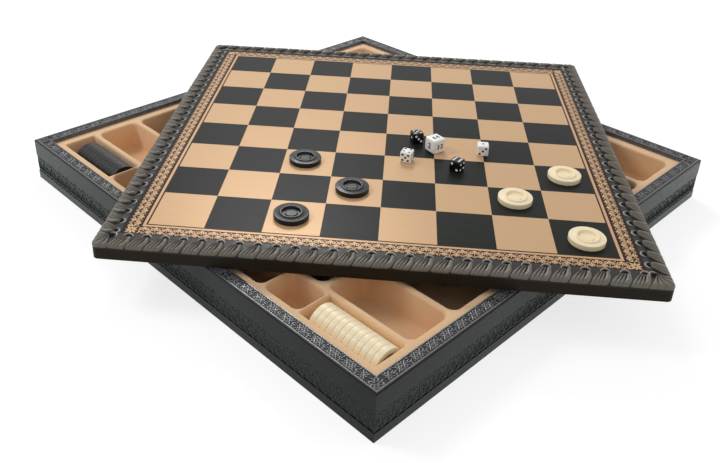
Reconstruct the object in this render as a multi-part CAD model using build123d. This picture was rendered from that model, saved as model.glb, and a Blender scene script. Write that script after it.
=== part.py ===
from build123d import *
import math
import os

# Chess and backgammon set: a low square case with a velvet tray, a laced playing board lying
# turned on its rim, two rolls of checkers in the tray, and loose checkers and dice on the board.
# Millimetres. The origin is the centre of the case's underside, +Z up. +X runs from the case's
# front corner to its right corner, and +Y from the front corner to its left corner.

# Playing board
square = 42.5
squares_across = 8
border = 31.8
lace_edge_width = 16.0
lace_edge_height = 3.8
lace_edge_roll = 3.2
lace_edge_bevel = 2.6
sheet_thick = 1.2
core_thick = 5.9
binding_thick = 1.2
board_corner_radius = 4.5
field_sheet_thick = 0.6
frame_height = 5.4
frame_width = 9.0
bar_width = 20.0

# Lacing over the board's edge
lace_pitch = 13.4
lace_reach = 11.0
lace_proud = 1.0
lace_width = 11.6
lace_neck = 4.4
lace_shoulder = 7.0
lace_slant = 5.0
lace_end_clear = 10.0

# Case
rim_width = 11.3
board_gap = 0.8
case_height = 38.9
cover_thick = 1.2
rim_thick = 1.2
rim_lip_thick = 1.0
rim_bead_width = 1.3
rim_channel_depth = 0.4
base_sheet_thick = 1.0
base_panel_thick = 5.0
recess_depth = 4.2
seat_gap = 0.3
band_low = 7.4
band_high = 23.4
band_line = 0.9
band_depth = 0.35

# Tray
tray_gap = 0.4
ledge_width = 9.0
tray_floor = 2.0
trough_raise = 2.0
ridge = 5.6
ridge_bevel = 1.5
thin_wall = 2.2
pocket_radius = 5.0
dice_pocket_length = 36.0
narrow_pocket_width = 38.0
narrow_pocket_length = 76.5
end_pocket_width = 50.0
ivory_trough_spare = 8.0
black_trough_spare = 16.0

# Checkers and dice
checker_radius = 13.5
checker_thick = 5.0
checker_sides = 44
checker_ring_radius = 9.0
checker_ring_width = 2.0
checker_ring_proud = 0.7
checker_hollow_depth = 0.5
checkers_in_roll = 12
trough_gap = 0.3
roll_gap = 0.05
roll_end_gap = 1.5
die_size = 9.8
doubling_cube_size = 12.9
die_bevel = 1.1

# Where the board lies on the case
board_x = 17.3
board_y = -6.7
board_turn = -49.26

# Loose checkers and dice, in squares from the board's centre, dice with their turn in degrees
ivory_on_board = [(3.51, -1.41), (2.46, -2.41), (3.55, -3.60)]
black_on_board = [(-1.56, -3.49), (-0.56, -2.42), (-1.57, -1.41)]
dice_on_board = {
    "white_die_1": (0.445, -1.126, -18),
    "white_die_2": (1.981, -0.626, -2),
    "black_die_1": (0.640, -0.251, 21),
    "black_die_2": (1.430, -1.366, -32),
}
doubling_cube_on_board = (1.012, -0.606, 40)

# Sizes that follow from the ones above
board_side = squares_across * square + 2 * border
board_height = frame_height + core_thick + sheet_thick
board_inner = board_side - 2 * binding_thick
case_inner = board_side + 2 * board_gap
case_side = case_inner + 2 * rim_width
case_core = case_side - 2 * cover_thick
wall_thick = rim_width - cover_thick - rim_lip_thick
wall_low = base_sheet_thick + base_panel_thick
wall_high = case_height - rim_thick
tray_top = case_height - recess_depth
tray_side = case_inner + 2 * rim_lip_thick - 2 * tray_gap
pocket_floor = wall_low + tray_floor
pocket_edge = case_inner / 2 - ledge_width
trough_radius = checker_radius + trough_gap
trough_floor = pocket_floor + trough_raise
roll_axis_x = -pocket_edge + trough_radius
roll_axis_z = trough_floor + trough_radius
roll_length = checkers_in_roll * checker_thick + (checkers_in_roll - 1) * roll_gap
ivory_trough_length = roll_length + ivory_trough_spare
black_trough_length = roll_length + black_trough_spare

BASE = (Align.CENTER, Align.CENTER, Align.MIN)
SIDES = {"front_right": 0, "back_right": 90, "back_left": 180, "front_left": 270}
BOARD_SIDES = {"front": 0, "right": 90, "back": 180, "left": 270}


def slab(side, height, low=0.0, radius=0.0):
    """A square plate about the Z axis, with rounded upright corners if a radius is given."""
    plan = RectangleRounded(side, side, radius) if radius else Rectangle(side, side)
    return Pos(0, 0, low) * extrude(plan, height)


def quarter(reach, height):
    """The wedge of space that one mitred side of a square frame may fill, towards -Y."""
    plan = make_face(Polyline((0, 0), (-reach, -reach), (reach, -reach), close=True))
    return extrude(plan, height)


def mitred(points, reach):
    """One side of a square frame: a section of (y, z) points, cut at 45 degrees at both ends."""
    section = make_face(Plane.YZ * Polyline(*points, close=True))
    bar = extrude(section, reach, both=True)
    top = max(z for y, z in points)
    return bar & quarter(reach, top)


def turned(shape, angle):
    """A copy turned about the Z axis."""
    return Rot(0, 0, angle) * shape


# Case

def base_sheet():
    return slab(case_core, base_sheet_thick)


def base_panel():
    return slab(case_core, base_panel_thick, base_sheet_thick)


def case_wall():
    """A wooden wall that stands on the base panel."""
    out = -case_core / 2
    inner = out + wall_thick
    return mitred([(out, wall_low), (inner, wall_low), (inner, wall_high), (out, wall_high)], case_side)


def side_cover():
    """The leatherette on one side, with its sunk ornamental band and the line pressed below it."""
    back = -case_core / 2
    face = -case_side / 2
    sunk = face + band_depth
    line_low = band_low - 2 * band_line
    steps = [(face, 0), (face, line_low), (sunk, line_low), (sunk, line_low + band_line)]
    steps += [(face, line_low + band_line), (face, band_low), (sunk, band_low)]
    steps += [(sunk, band_high), (face, band_high), (face, wall_high)]
    return mitred([(back, 0)] + steps + [(back, wall_high)], case_side)


def rim_strip():
    """The strip over one wall's top: a bead, a sunk ornamental channel and a lip down the inside."""
    out = -case_side / 2
    inner = -case_inner / 2
    channel = case_height - rim_channel_depth
    lip_low = tray_top + seat_gap
    top = [(out, wall_high), (out, case_height), (out + rim_bead_width, case_height)]
    top += [(out + rim_bead_width, channel), (inner - rim_bead_width, channel)]
    top += [(inner - rim_bead_width, case_height), (inner, case_height), (inner, lip_low)]
    return mitred(top + [(inner - rim_lip_thick, lip_low), (inner - rim_lip_thick, wall_high)], case_side)


# Tray

def soft_rectangle(width, length, radius):
    """A rectangle whose corners turn in three flats that touch an arc of the radius."""
    first = chamfer(Rectangle(width, length).vertices(), radius * (2 - math.sqrt(2)))
    return chamfer(first.vertices(), radius * (math.tan(math.pi / 8) - math.tan(math.pi / 16)))


def pocket(x_low, x_high, y_low, y_high):
    """The space of one flat pocket, with soft upright corners and a bevelled mouth."""
    width = x_high - x_low
    length = y_high - y_low
    middle = Pos((x_low + x_high) / 2, (y_low + y_high) / 2, 0)
    well = extrude(soft_rectangle(width, length, pocket_radius), tray_top - pocket_floor)
    mouth_radius = pocket_radius + ridge_bevel
    mouth_plan = soft_rectangle(width + 2 * ridge_bevel, length + 2 * ridge_bevel, mouth_radius)
    mouth = extrude(mouth_plan, -ridge_bevel, taper=45)
    return middle * (Pos(0, 0, pocket_floor) * well + Pos(0, 0, tray_top) * mouth)


def trough(y_low, length):
    """The space of one round-bottomed trough for a roll of checkers, along Y."""
    depth = tray_top - roll_axis_z
    middle = Pos(roll_axis_x, y_low + length / 2, roll_axis_z)
    round_floor = Rot(90, 0, 0) * Cylinder(trough_radius, length)
    upper = Box(2 * trough_radius, length, depth, align=BASE)
    mouth_plan = Rectangle(2 * trough_radius + 2 * ridge_bevel, length + 2 * ridge_bevel)
    mouth = Pos(0, 0, depth) * extrude(mouth_plan, -ridge_bevel, taper=45)
    return middle * (round_floor + upper + mouth)


def pocket_plan():
    """Every flat pocket as (x low, x high, y low, y high), worked out from the troughs and ridges."""
    edge = pocket_edge
    roll_high = -edge + 2 * trough_radius
    narrow_low = roll_high + ridge
    narrow_high = narrow_low + narrow_pocket_width
    end_low = edge - end_pocket_width
    wide_low = narrow_high + ridge
    wide_high = end_low - ridge
    centre = (wide_low + wide_high) / 2
    dice_low = -edge + ivory_trough_length + thin_wall
    dice_high = dice_low + dice_pocket_length
    spare_high = edge - black_trough_length - thin_wall
    narrow_end = edge - narrow_pocket_length
    plan = [(-edge, roll_high, dice_low, dice_high), (-edge, roll_high, dice_high + thin_wall, spare_high)]
    plan += [(narrow_low, narrow_high, -edge, -narrow_end), (narrow_low, narrow_high, narrow_end, edge)]
    plan += [(narrow_low, narrow_high, -narrow_end + ridge, narrow_end - ridge)]
    columns = [(wide_low, centre - ridge / 2), (centre + ridge / 2, wide_high), (end_low, edge)]
    for low, high in columns:
        plan += [(low, high, -edge, -ridge / 2), (low, high, ridge / 2, edge)]
    return plan


def tray():
    """The moulded tray that fills the case up to the ledge on which the closed board rests."""
    body = slab(tray_side, tray_top - wall_low, wall_low)
    for place in pocket_plan():
        body -= pocket(*place)
    body -= trough(-pocket_edge, ivory_trough_length)
    body -= trough(pocket_edge - black_trough_length, black_trough_length)
    return body


# Playing board, with its underside at z = 0 and its centre on the Z axis

def board_core():
    """The plywood panel, rebated along its top edge for the laced leather."""
    low_height = board_height - lace_edge_height - frame_height
    lower = slab(board_inner, low_height, frame_height, board_corner_radius - binding_thick)
    upper_side = board_side - 2 * lace_edge_roll
    upper_radius = board_corner_radius - lace_edge_roll
    return lower + slab(upper_side, core_thick - low_height, frame_height + low_height, upper_radius)


def playing_sheet():
    return slab(board_side - 2 * lace_edge_width, sheet_thick, board_height - sheet_thick)


def laced_edge():
    """The leather round the playing sheet, thick at the outside, where its bevel takes the laces."""
    low = board_height - lace_edge_height
    body = slab(board_side, lace_edge_height, low, board_corner_radius)
    body = chamfer(body.faces().sort_by(Axis.Z)[-1].outer_wire().edges(), lace_edge_bevel)
    rebate_side = board_side - 2 * lace_edge_roll
    rebate = slab(rebate_side, lace_edge_height - sheet_thick, low, board_corner_radius - lace_edge_roll)
    window = slab(board_side - 2 * lace_edge_width, board_height)
    return body - rebate - window


def edge_binding():
    """The plain strip round the board's sides, below the laced leather."""
    height = board_height - lace_edge_height
    outer = slab(board_side, height, 0, board_corner_radius)
    return outer - slab(board_inner, height, 0, board_corner_radius - binding_thick)


def backgammon_frame():
    """The raised border and middle bar round the two halves of the backgammon field underneath."""
    out = -board_inner / 2
    inner = out + frame_width
    strip = mitred([(out, 0), (inner, 0), (inner, frame_height), (out, frame_height)], board_side)
    strip &= slab(board_inner, frame_height, 0, board_corner_radius - binding_thick)
    bar = Box(bar_width, board_inner - 2 * frame_width, frame_height, align=BASE)
    return Compound([turned(strip, angle) for angle in BOARD_SIDES.values()] + [bar])


def backgammon_sheet():
    """The printed field on the panel's underside, in two halves beside the bar."""
    length = board_inner - 2 * frame_width
    width = (length - bar_width) / 2
    half = Box(width, length, field_sheet_thick, align=BASE)
    shift = (bar_width + width) / 2
    level = frame_height - field_sheet_thick
    return Compound([Pos(x, 0, level) * half for x in (-shift, shift)])


def lace():
    """One lace on the front edge: out of its hole, widening and swelling outwards over the bevel."""
    edge = -board_side / 2
    rise = lace_proud / math.sqrt(2)
    bevel_low = board_height - lace_edge_bevel
    crown = lace_edge_bevel - (math.sqrt(2) - 1) * lace_proud
    section = [(lace_reach, board_height), (lace_edge_bevel, board_height), (0, bevel_low)]
    section += [(-rise, bevel_low + rise), (crown, board_height + lace_proud)]
    side_face = make_face(Plane.YZ * Polyline(*[(edge + depth, z) for depth, z in section], close=True))
    swell = extrude(side_face, lace_width + lace_slant, both=True)
    arch = [(-lace_proud, lace_width), (lace_shoulder, lace_width), (lace_reach, lace_neck)]
    left = [(lace_slant * depth / lace_reach - wide / 2, edge + depth) for depth, wide in arch]
    right = [(lace_slant * depth / lace_reach + wide / 2, edge + depth) for depth, wide in arch]
    outline = make_face(Polyline(*left, *reversed(right), close=True))
    return swell & extrude(outline, board_height + lace_proud)


def lacing(angle):
    """The run of laces along one side of the board."""
    room = board_side - 2 * lace_end_clear - lace_width - lace_slant
    count = int(room / lace_pitch)
    one = lace()
    start = -(count * lace_pitch + lace_slant) / 2
    return Compound([turned(Pos(start + i * lace_pitch, 0, 0) * one, angle) for i in range(count + 1)])


def on_board(shape, x, y, level=0.0, angle=0.0):
    """Puts a shape at a place on the board, and with it where the board lies on the case."""
    board = Location((board_x, board_y, case_height), (0, 0, board_turn))
    return board * Location((x, y, level), (0, 0, angle)) * shape


# Playing pieces

def disc(radius, low, high):
    """A many-sided disc about the Z axis."""
    return Pos(0, 0, low) * extrude(RegularPolygon(radius, checker_sides), high - low)


def turned_checker():
    """A checker lying flat, with the raised ring on its face and the shallow hollow inside the ring."""
    rim = checker_thick - checker_ring_proud
    body = disc(checker_radius, 0, rim) + disc(checker_ring_radius, rim, checker_thick)
    hollow_radius = checker_ring_radius - checker_ring_width
    return body - disc(hollow_radius, rim - checker_hollow_depth, checker_thick)


def die(size):
    body = Box(size, size, size, align=BASE)
    return chamfer(body.edges(), die_bevel * size / doubling_cube_size)


def case_parts():
    parts = {"case_base_sheet": base_sheet(), "case_base_panel": base_panel(), "case_tray": tray()}
    makers = {"case_wall": case_wall(), "case_side_cover": side_cover(), "case_rim_strip": rim_strip()}
    for name, one in makers.items():
        for side, angle in SIDES.items():
            parts[f"{name}_{side}"] = turned(one, angle)
    return parts


def board_parts():
    parts = {"board_core": board_core(), "board_playing_sheet": playing_sheet()}
    parts["board_laced_edge"] = laced_edge()
    parts["board_edge_binding"] = edge_binding()
    parts["board_backgammon_frame"] = backgammon_frame()
    parts["board_backgammon_sheet"] = backgammon_sheet()
    for side, angle in BOARD_SIDES.items():
        parts[f"board_lacing_{side}"] = lacing(angle)
    return {name: on_board(shape, 0, 0) for name, shape in parts.items()}


def loose_parts():
    """The checkers and dice that stand on the board."""
    parts = {}
    one = turned_checker()
    for colour, places in {"ivory": ivory_on_board, "black": black_on_board}.items():
        for number, (x, y) in enumerate(places, 1):
            parts[f"{colour}_checker_{number}"] = on_board(one, x * square, y * square, board_height)
    small = die(die_size)
    for name, (x, y, angle) in dice_on_board.items():
        parts[name] = on_board(small, x * square, y * square, board_height, angle)
    x, y, angle = doubling_cube_on_board
    parts["doubling_cube"] = on_board(die(doubling_cube_size), x * square, y * square, board_height, angle)
    return parts


def rolled_parts():
    """The two rolls of checkers on edge in their troughs. Only the first shows its turned face."""
    parts = {}
    plain = Rot(90, 0, 0) * disc(checker_radius, 0, checker_thick)
    first = Rot(90, 0, 0) * turned_checker()
    starts = {"ivory": -pocket_edge, "black": pocket_edge - black_trough_length}
    for colour, trough_start in starts.items():
        for number in range(checkers_in_roll):
            back = trough_start + roll_end_gap + number * (checker_thick + roll_gap) + checker_thick
            one = plain if number else first
            parts[f"{colour}_rolled_checker_{number + 1:02d}"] = Pos(roll_axis_x, back, roll_axis_z) * one
    return parts


def main():
    os.makedirs("parts", exist_ok=True)
    parts = {**case_parts(), **board_parts(), **loose_parts(), **rolled_parts()}
    for name, shape in parts.items():
        export_step(shape, f"parts/{name}.step")
    print(len(parts), "parts, case", round(case_side, 2), "board", round(board_side, 2))


main()
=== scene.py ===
import math

import bmesh
import bpy
from bpy.props import FloatProperty, FloatVectorProperty, IntProperty, PointerProperty
from mathutils import Matrix, Vector
from mathutils.geometry import tessellate_polygon


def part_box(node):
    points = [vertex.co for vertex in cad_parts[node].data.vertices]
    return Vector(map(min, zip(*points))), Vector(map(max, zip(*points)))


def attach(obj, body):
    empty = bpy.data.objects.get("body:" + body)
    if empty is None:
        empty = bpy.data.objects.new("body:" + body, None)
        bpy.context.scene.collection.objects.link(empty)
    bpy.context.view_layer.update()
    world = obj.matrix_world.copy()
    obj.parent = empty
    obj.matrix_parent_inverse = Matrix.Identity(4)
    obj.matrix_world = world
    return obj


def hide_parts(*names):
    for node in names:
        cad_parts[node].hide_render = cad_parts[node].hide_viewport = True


bl_info = {
    "name": "Chess and backgammon board",
    "version": (1, 0, 0),
    "blender": (4, 5, 0),
    "location": "3D View > Sidebar > Board",
    "description": "Gives the case, the laced board, the checkers and the dice their shapes and finishes",
    "category": "Object",
}

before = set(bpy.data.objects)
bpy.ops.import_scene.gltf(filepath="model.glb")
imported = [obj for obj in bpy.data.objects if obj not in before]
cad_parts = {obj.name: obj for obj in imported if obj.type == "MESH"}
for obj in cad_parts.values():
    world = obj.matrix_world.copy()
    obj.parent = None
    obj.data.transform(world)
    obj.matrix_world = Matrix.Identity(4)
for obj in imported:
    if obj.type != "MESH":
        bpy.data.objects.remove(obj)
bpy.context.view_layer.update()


# Sizes and colours

def length(name, description, default):
    return FloatProperty(name=name, description=description, default=default, unit="LENGTH", precision=5)


def share(name, description, default):
    return FloatProperty(name=name, description=description, default=default, min=0.0, max=1.0,
                         subtype="FACTOR")


def count(name, description, default):
    return IntProperty(name=name, description=description, default=default, min=1)


def power(name, description, default):
    return FloatProperty(name=name, description=description, default=default, unit="POWER")


def colour(name, description, red, green, blue):
    """A colour property, written as it looks on a screen from 0 to 255 and kept in linear light."""
    steps = [value / 255 for value in (red, green, blue)]
    linear = [s / 12.92 if s <= 0.04045 else ((s + 0.055) / 1.055) ** 2.4 for s in steps]
    return FloatVectorProperty(name=name, description=description, size=3, default=linear, subtype="COLOR")


class BoardSizes(bpy.types.PropertyGroup):
    """Sizes of the playing board, its print and its lacing."""
    turn: FloatProperty(name="Turn", description="How far the board lies turned on the case",
                        default=math.radians(-49.26), unit="ROTATION")
    square: length("Square", "Side of one square", 0.0424)
    grid_shift_x: length("Grid shift across", "Squares' middle from the board's middle", 0.0)
    grid_shift_y: length("Grid shift deep", "Squares' middle from the board's middle", 0.0010)
    frame_shift_x: length("Frame shift across", "Printed frame's middle from the board's middle", 0.0004)
    frame_shift_y: length("Frame shift deep", "Printed frame's middle from the board's middle", -0.0013)
    frame_half_x: length("Frame half width", "Half of the printed frame, inside its first line", 0.1693)
    frame_half_y: length("Frame half depth", "Half of the printed frame, inside its first line", 0.1704)
    line: length("Dark line", "Width of the dark line round the squares", 0.0013)
    gold_line: length("Gold line", "Width of the gold line round the squares", 0.0021)
    band_gap: length("Band gap", "Dark line between the gold line and the scroll band", 0.0017)
    band_width: length("Scroll band", "Width of the scroll band", 0.0094)
    scroll_count: count("Scrolls", "Scrolls along one side", 41)
    foil: length("Foil", "Thickness of the gold foil", 0.00006)
    corner: length("Corner", "Radius of the board's corners", 0.0045)
    edge_roll: length("Edge roll", "Radius of the leather's rolled edge", 0.0026)
    lace_pitch: length("Lace pitch", "Distance between laces", 0.0134)
    lace_count: count("Laces", "Laces along one side", 28)
    lace_reach: length("Lace reach", "From the board's side to the holes", 0.0110)
    lace_slant: length("Lace slant", "How far a hole lies beside the lace's outer end", 0.0050)
    lace_width: length("Lace width", "Width of a lace at the board's side", 0.0132)
    lace_proud: length("Lace height", "How far a lace stands out of the leather", 0.0010)
    hole: length("Hole", "Width of a lace hole", 0.0041)


class CaseSizes(bpy.types.PropertyGroup):
    """Sizes of the case's ornaments."""
    band_pitch: length("Leaf pitch", "Distance between leaf ornaments on the sides", 0.01426)
    band_count: count("Leaves", "Leaf ornaments along one side", 30)
    band_low: length("Band bottom", "Height of the leaf band's lower edge", 0.0074)
    band_height: length("Band height", "Height of the leaf band", 0.0160)
    band_depth: length("Band depth", "How deep the leaf band is pressed", 0.00035)
    line_low: length("Line bottom", "Height of the pressed line's lower edge", 0.0056)
    line_width: length("Line width", "Width of the pressed line", 0.0009)
    rim_pitch: length("Scroll pitch", "Distance between scrolls on the rim", 0.01426)
    rim_count: count("Scrolls", "Scrolls along one side of the rim", 28)
    rim_thick: length("Rim thickness", "Thickness of the rim's leatherette", 0.0012)
    rim_arris: length("Rim arris", "Radius of the rim's outer edge", 0.0011)
    rim_width: length("Rim width", "Width of the rim", 0.0113)
    rim_bead: length("Rim bead", "Width of the plain edges of the rim", 0.0013)
    rim_depth: length("Rim depth", "How deep the scroll strip is pressed", 0.0004)


class TraySizes(bpy.types.PropertyGroup):
    """Sizes of the flocked tray."""
    pocket_edge: length("Pocket edge", "Half of the area that the pockets fill", 0.1936)
    floor: length("Floor", "Height of the pockets' floor", 0.0080)
    ridge: length("Ridge", "Width of a ridge between pockets", 0.0056)
    lip: length("Lip", "Radius of the ridges' round tops", 0.0026)
    thin_wall: length("Thin wall", "Width of the walls beside the round troughs", 0.0022)
    corner: length("Corner", "Radius of the pockets' upright corners", 0.0060)
    fillet: length("Fillet", "Radius between wall and floor", 0.0035)
    trough_raise: length("Trough raise", "How much higher the round troughs lie", 0.0020)


class PieceSizes(bpy.types.PropertyGroup):
    """Sizes of the checkers and dice."""
    checker_radius: length("Checker radius", "Radius of a checker", 0.0135)
    checker_thick: length("Checker thickness", "Thickness of a checker", 0.0050)
    ring_radius: length("Ring radius", "Outer radius of the raised ring", 0.0090)
    ring_width: length("Ring width", "Width of the raised ring", 0.0020)
    ring_proud: length("Ring height", "How far the ring stands up", 0.0009)
    rolled: count("Checkers in a roll", "Checkers in each roll", 12)
    roll_gap: length("Roll gap", "Gap between rolled checkers", 0.00005)
    die_round: share("Die rounding", "Radius of a die's edges as a share of its side", 0.12)
    pip: share("Pip", "Radius of a pip as a share of the die's side", 0.115)
    numeral: share("Numeral", "Height of a numeral as a share of the cube's side", 0.52)


class FinishColours(bpy.types.PropertyGroup):
    """Colours of the finishes."""
    case_leather: colour("Case leatherette", "Satin leatherette of the case's sides", 12, 21, 15)
    # Raised parts of the rim and its scrolls, lighter than the leatherette's own tone: a painted highlight
    # for their glint.
    rim_leather: colour("Rim leatherette", "Raised parts of the rim's leatherette", 84, 84, 87)
    # Near-black for the rim's channel, arris and outer flat: painted shade.
    rim_ground: colour("Rim ground", "Sunk parts of the rim's leatherette", 22, 22, 24)
    edge_leather: colour("Edge leather", "Leather under the laces", 29, 28, 27)
    # Pale lips: partly rubbed wear, partly a painted highlight for their glint.
    worn_leather: colour("Worn leather", "Rubbed lips round the lace holes", 160, 156, 149)
    # Near-black dashes: painted shade of the pressed groove.
    pressed: colour("Pressed line", "Dark dashes pressed under the leaf band", 9, 10, 9)
    lace_leather: colour("Lace leather", "Leather of the laces", 100, 94, 83)
    binding: colour("Binding", "Strip round the board's sides", 44, 38, 30)
    gold: colour("Gold print", "Light squares and gold lines", 209, 172, 133)
    dark: colour("Dark print", "Dark squares", 27, 30, 27)
    brown: colour("Brown print", "Ground of the scroll band", 56, 30, 19)
    flock: colour("Flock", "Flocked tray", 242, 202, 158)
    ivory: colour("Ivory", "Light checkers", 253, 236, 198)
    black: colour("Black", "Dark checkers", 21, 20, 20)
    white_die: colour("White dice", "Light dice and the doubling cube", 251, 251, 248)
    black_die: colour("Black dice", "Dark dice", 15, 15, 16)
    wood: colour("Wood", "Wooden panels and walls", 176, 132, 88)


class StageSettings(bpy.types.PropertyGroup):
    """Camera and lights."""
    focal: FloatProperty(name="Lens", description="Focal length in millimetres", default=40.295)
    key: power("Key light", "Power of the soft lamp on the left", 6.8)
    fill: power("Fill light", "Power of the widest lamp, in front on the right", 1.7)
    back: power("Back light", "Power of the small lamp behind", 5.0)
    sky: FloatProperty(name="Sky", description="Strength of the light from all round", default=0.5)


# Making meshes

TINY = 1e-6  # points that lie closer count as one


def add_object(name, mesh):
    piece = bpy.data.objects.new(name, mesh)
    bpy.context.scene.collection.objects.link(piece)
    return piece


def smooth_mesh(mesh, sharp):
    """Shades a mesh smooth up to an angle in degrees."""
    mesh.shade_smooth()
    mesh.set_sharp_from_angle(angle=math.radians(sharp))
    return mesh


def finish_mesh(mesh, sharp):
    """Merges doubles, points the faces outwards and shades them smooth up to an angle."""
    work = bmesh.new()
    work.from_mesh(mesh)
    bmesh.ops.remove_doubles(work, verts=work.verts, dist=TINY)
    bmesh.ops.recalc_face_normals(work, faces=work.faces)
    work.to_mesh(mesh)
    work.free()
    return smooth_mesh(mesh, sharp)


def mesh_from_work(work, name):
    """A mesh from finished bmesh work."""
    mesh = bpy.data.meshes.new(name)
    work.to_mesh(mesh)
    work.free()
    return mesh


def evaluated_mesh(piece, *spent):
    """The plain mesh that a piece's modifier or text makes. The piece and the spent ones are then removed."""
    bpy.context.view_layer.update()
    made = piece.evaluated_get(bpy.context.evaluated_depsgraph_get())
    mesh = bpy.data.meshes.new_from_object(made)
    for used in (piece, *spent):
        bpy.data.objects.remove(used)
    return mesh


def mesh_of(name, points, faces, sharp, creases=None):
    mesh = bpy.data.meshes.new(name)
    mesh.from_pydata([tuple(p) for p in points], [], faces)
    if creases:
        mesh.attributes.new("crease", "FLOAT", "POINT").data.foreach_set("value", creases)
    return finish_mesh(mesh, sharp)


def add_loft(points, faces, rings, start_cap=False, end_cap=False, close=False):
    """Adds a skin through closed rings that have the same number of points."""
    base = len(points)
    size = len(rings[0])
    for ring in rings:
        points.extend(ring)
    pairs = len(rings) if close else len(rings) - 1
    for row in range(pairs):
        low = base + row * size
        high = base + (row + 1) % len(rings) * size
        for i in range(size):
            j = (i + 1) % size
            faces.append((low + i, low + j, high + j, high + i))
    if start_cap:
        faces.append(tuple(base + i for i in range(size)))
    if end_cap:
        last = base + (len(rings) - 1) * size
        faces.append(tuple(last + i for i in range(size)))


def loft_mesh(name, rings, sharp, creases=None, **ends):
    """One skin through rings, closed at its ends or back to its start as the ends say."""
    points = []
    faces = []
    add_loft(points, faces, rings, **ends)
    return mesh_of(name, points, faces, sharp, creases)


def polar(radius, angle):
    return radius * math.cos(angle), radius * math.sin(angle)


def quarter(steps):
    """One less the sine and one less the cosine, at even steps of a quarter turn."""
    angles = [math.radians(90 * step / steps) for step in range(steps + 1)]
    return [(1 - math.sin(angle), 1 - math.cos(angle)) for angle in angles]


def square_ring(reach, height):
    """The corners of a square about the middle, at one height."""
    return [(x * reach, y * reach, height) for x, y in ((1, 1), (-1, 1), (-1, -1), (1, -1))]


def soft_ring(x_low, x_high, y_low, y_high, radius, height, steps=8):
    """A rectangle with round corners, as a closed ring of points at one height."""
    radius = max(radius, TINY)
    corners = [(x_high - radius, y_high - radius, 0), (x_low + radius, y_high - radius, 90),
               (x_low + radius, y_low + radius, 180), (x_high - radius, y_low + radius, 270)]
    ring = []
    for x, y, start in corners:
        for step in range(steps + 1):
            angle = math.radians(start + 90 * step / steps)
            ring.append((x + radius * math.cos(angle), y + radius * math.sin(angle), height))
    return ring


def turned(profile, sides):
    """Points and faces of a shape turned about Z, whose profile begins and ends on the axis."""
    angles = [2 * math.pi * i / sides for i in range(sides)]
    rings = [[(*polar(radius, angle), height) for angle in angles] for radius, height in profile[1:-1]]
    points = []
    faces = []
    add_loft(points, faces, rings)
    for ring, (_, height) in ((0, profile[0]), (len(rings) - 1, profile[-1])):
        base = ring * sides
        points.append((0, 0, height))
        faces.extend((base + i, base + (i + 1) % sides, len(points) - 1) for i in range(sides))
    return points, faces


def add_stroke(points, faces, line, widths, low, high, crown=0.0):
    """Adds one raised stroke of an ornament along a line, swelling and tapering as the widths say."""
    rings = []
    for i, (x, y) in enumerate(line):
        before = Vector(line[max(i - 1, 0)])
        after = Vector(line[min(i + 1, len(line) - 1)])
        along = (after - before).normalized()
        side = Vector((-along.y, along.x)) * widths[i] / 2
        left = (x - side.x, y - side.y)
        right = (x + side.x, y + side.y)
        middle = [(x, y, high + crown)] if crown else []
        rings.append([(*left, low), (*right, low), (*right, high), *middle, (*left, high)])
    add_loft(points, faces, rings, start_cap=True, end_cap=True)


def curl(start, bend, end, steps):
    """Points on a soft bow from start to end."""
    points = []
    for i in range(steps + 1):
        t = i / steps
        x = (1 - t) ** 2 * start[0] + 2 * t * (1 - t) * bend[0] + t * t * end[0]
        y = (1 - t) ** 2 * start[1] + 2 * t * (1 - t) * bend[1] + t * t * end[1]
        points.append((x, y))
    return points


def hook(centre, radius, start, sweep, steps, tighten=0.45):
    """Points on a curl that winds inwards."""
    points = []
    for i in range(steps + 1):
        t = i / steps
        x, y = polar(radius * (1 - tighten * t), math.radians(start + sweep * t))
        points.append((centre[0] + x, centre[1] + y))
    return points


def taper(number, start, middle, end):
    """Widths that swell from start to middle and thin out to end."""
    widths = []
    for i in range(number):
        t = i / (number - 1)
        widths.append((1 - t) ** 2 * start + 2 * t * (1 - t) * middle + t * t * end)
    return widths


class Ornament:
    """Raised strokes, drawn in shares of a cell's two sides and made one mesh."""

    def __init__(self, wide, deep, low, high, crown=0.0):
        self.cell = (wide, deep)
        self.section = (low, high, crown)
        self.points = []
        self.faces = []

    def stroke(self, line, start, middle, end):
        """Adds a stroke with its widths at the start, in the middle and at the end."""
        wide, deep = self.cell
        flat = [(x * wide, y * deep) for x, y in line]
        add_stroke(self.points, self.faces, flat, taper(len(flat), start, middle, end), *self.section)

    def mesh(self, name):
        return mesh_of(name, self.points, self.faces, 30)


# Building node trees

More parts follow.
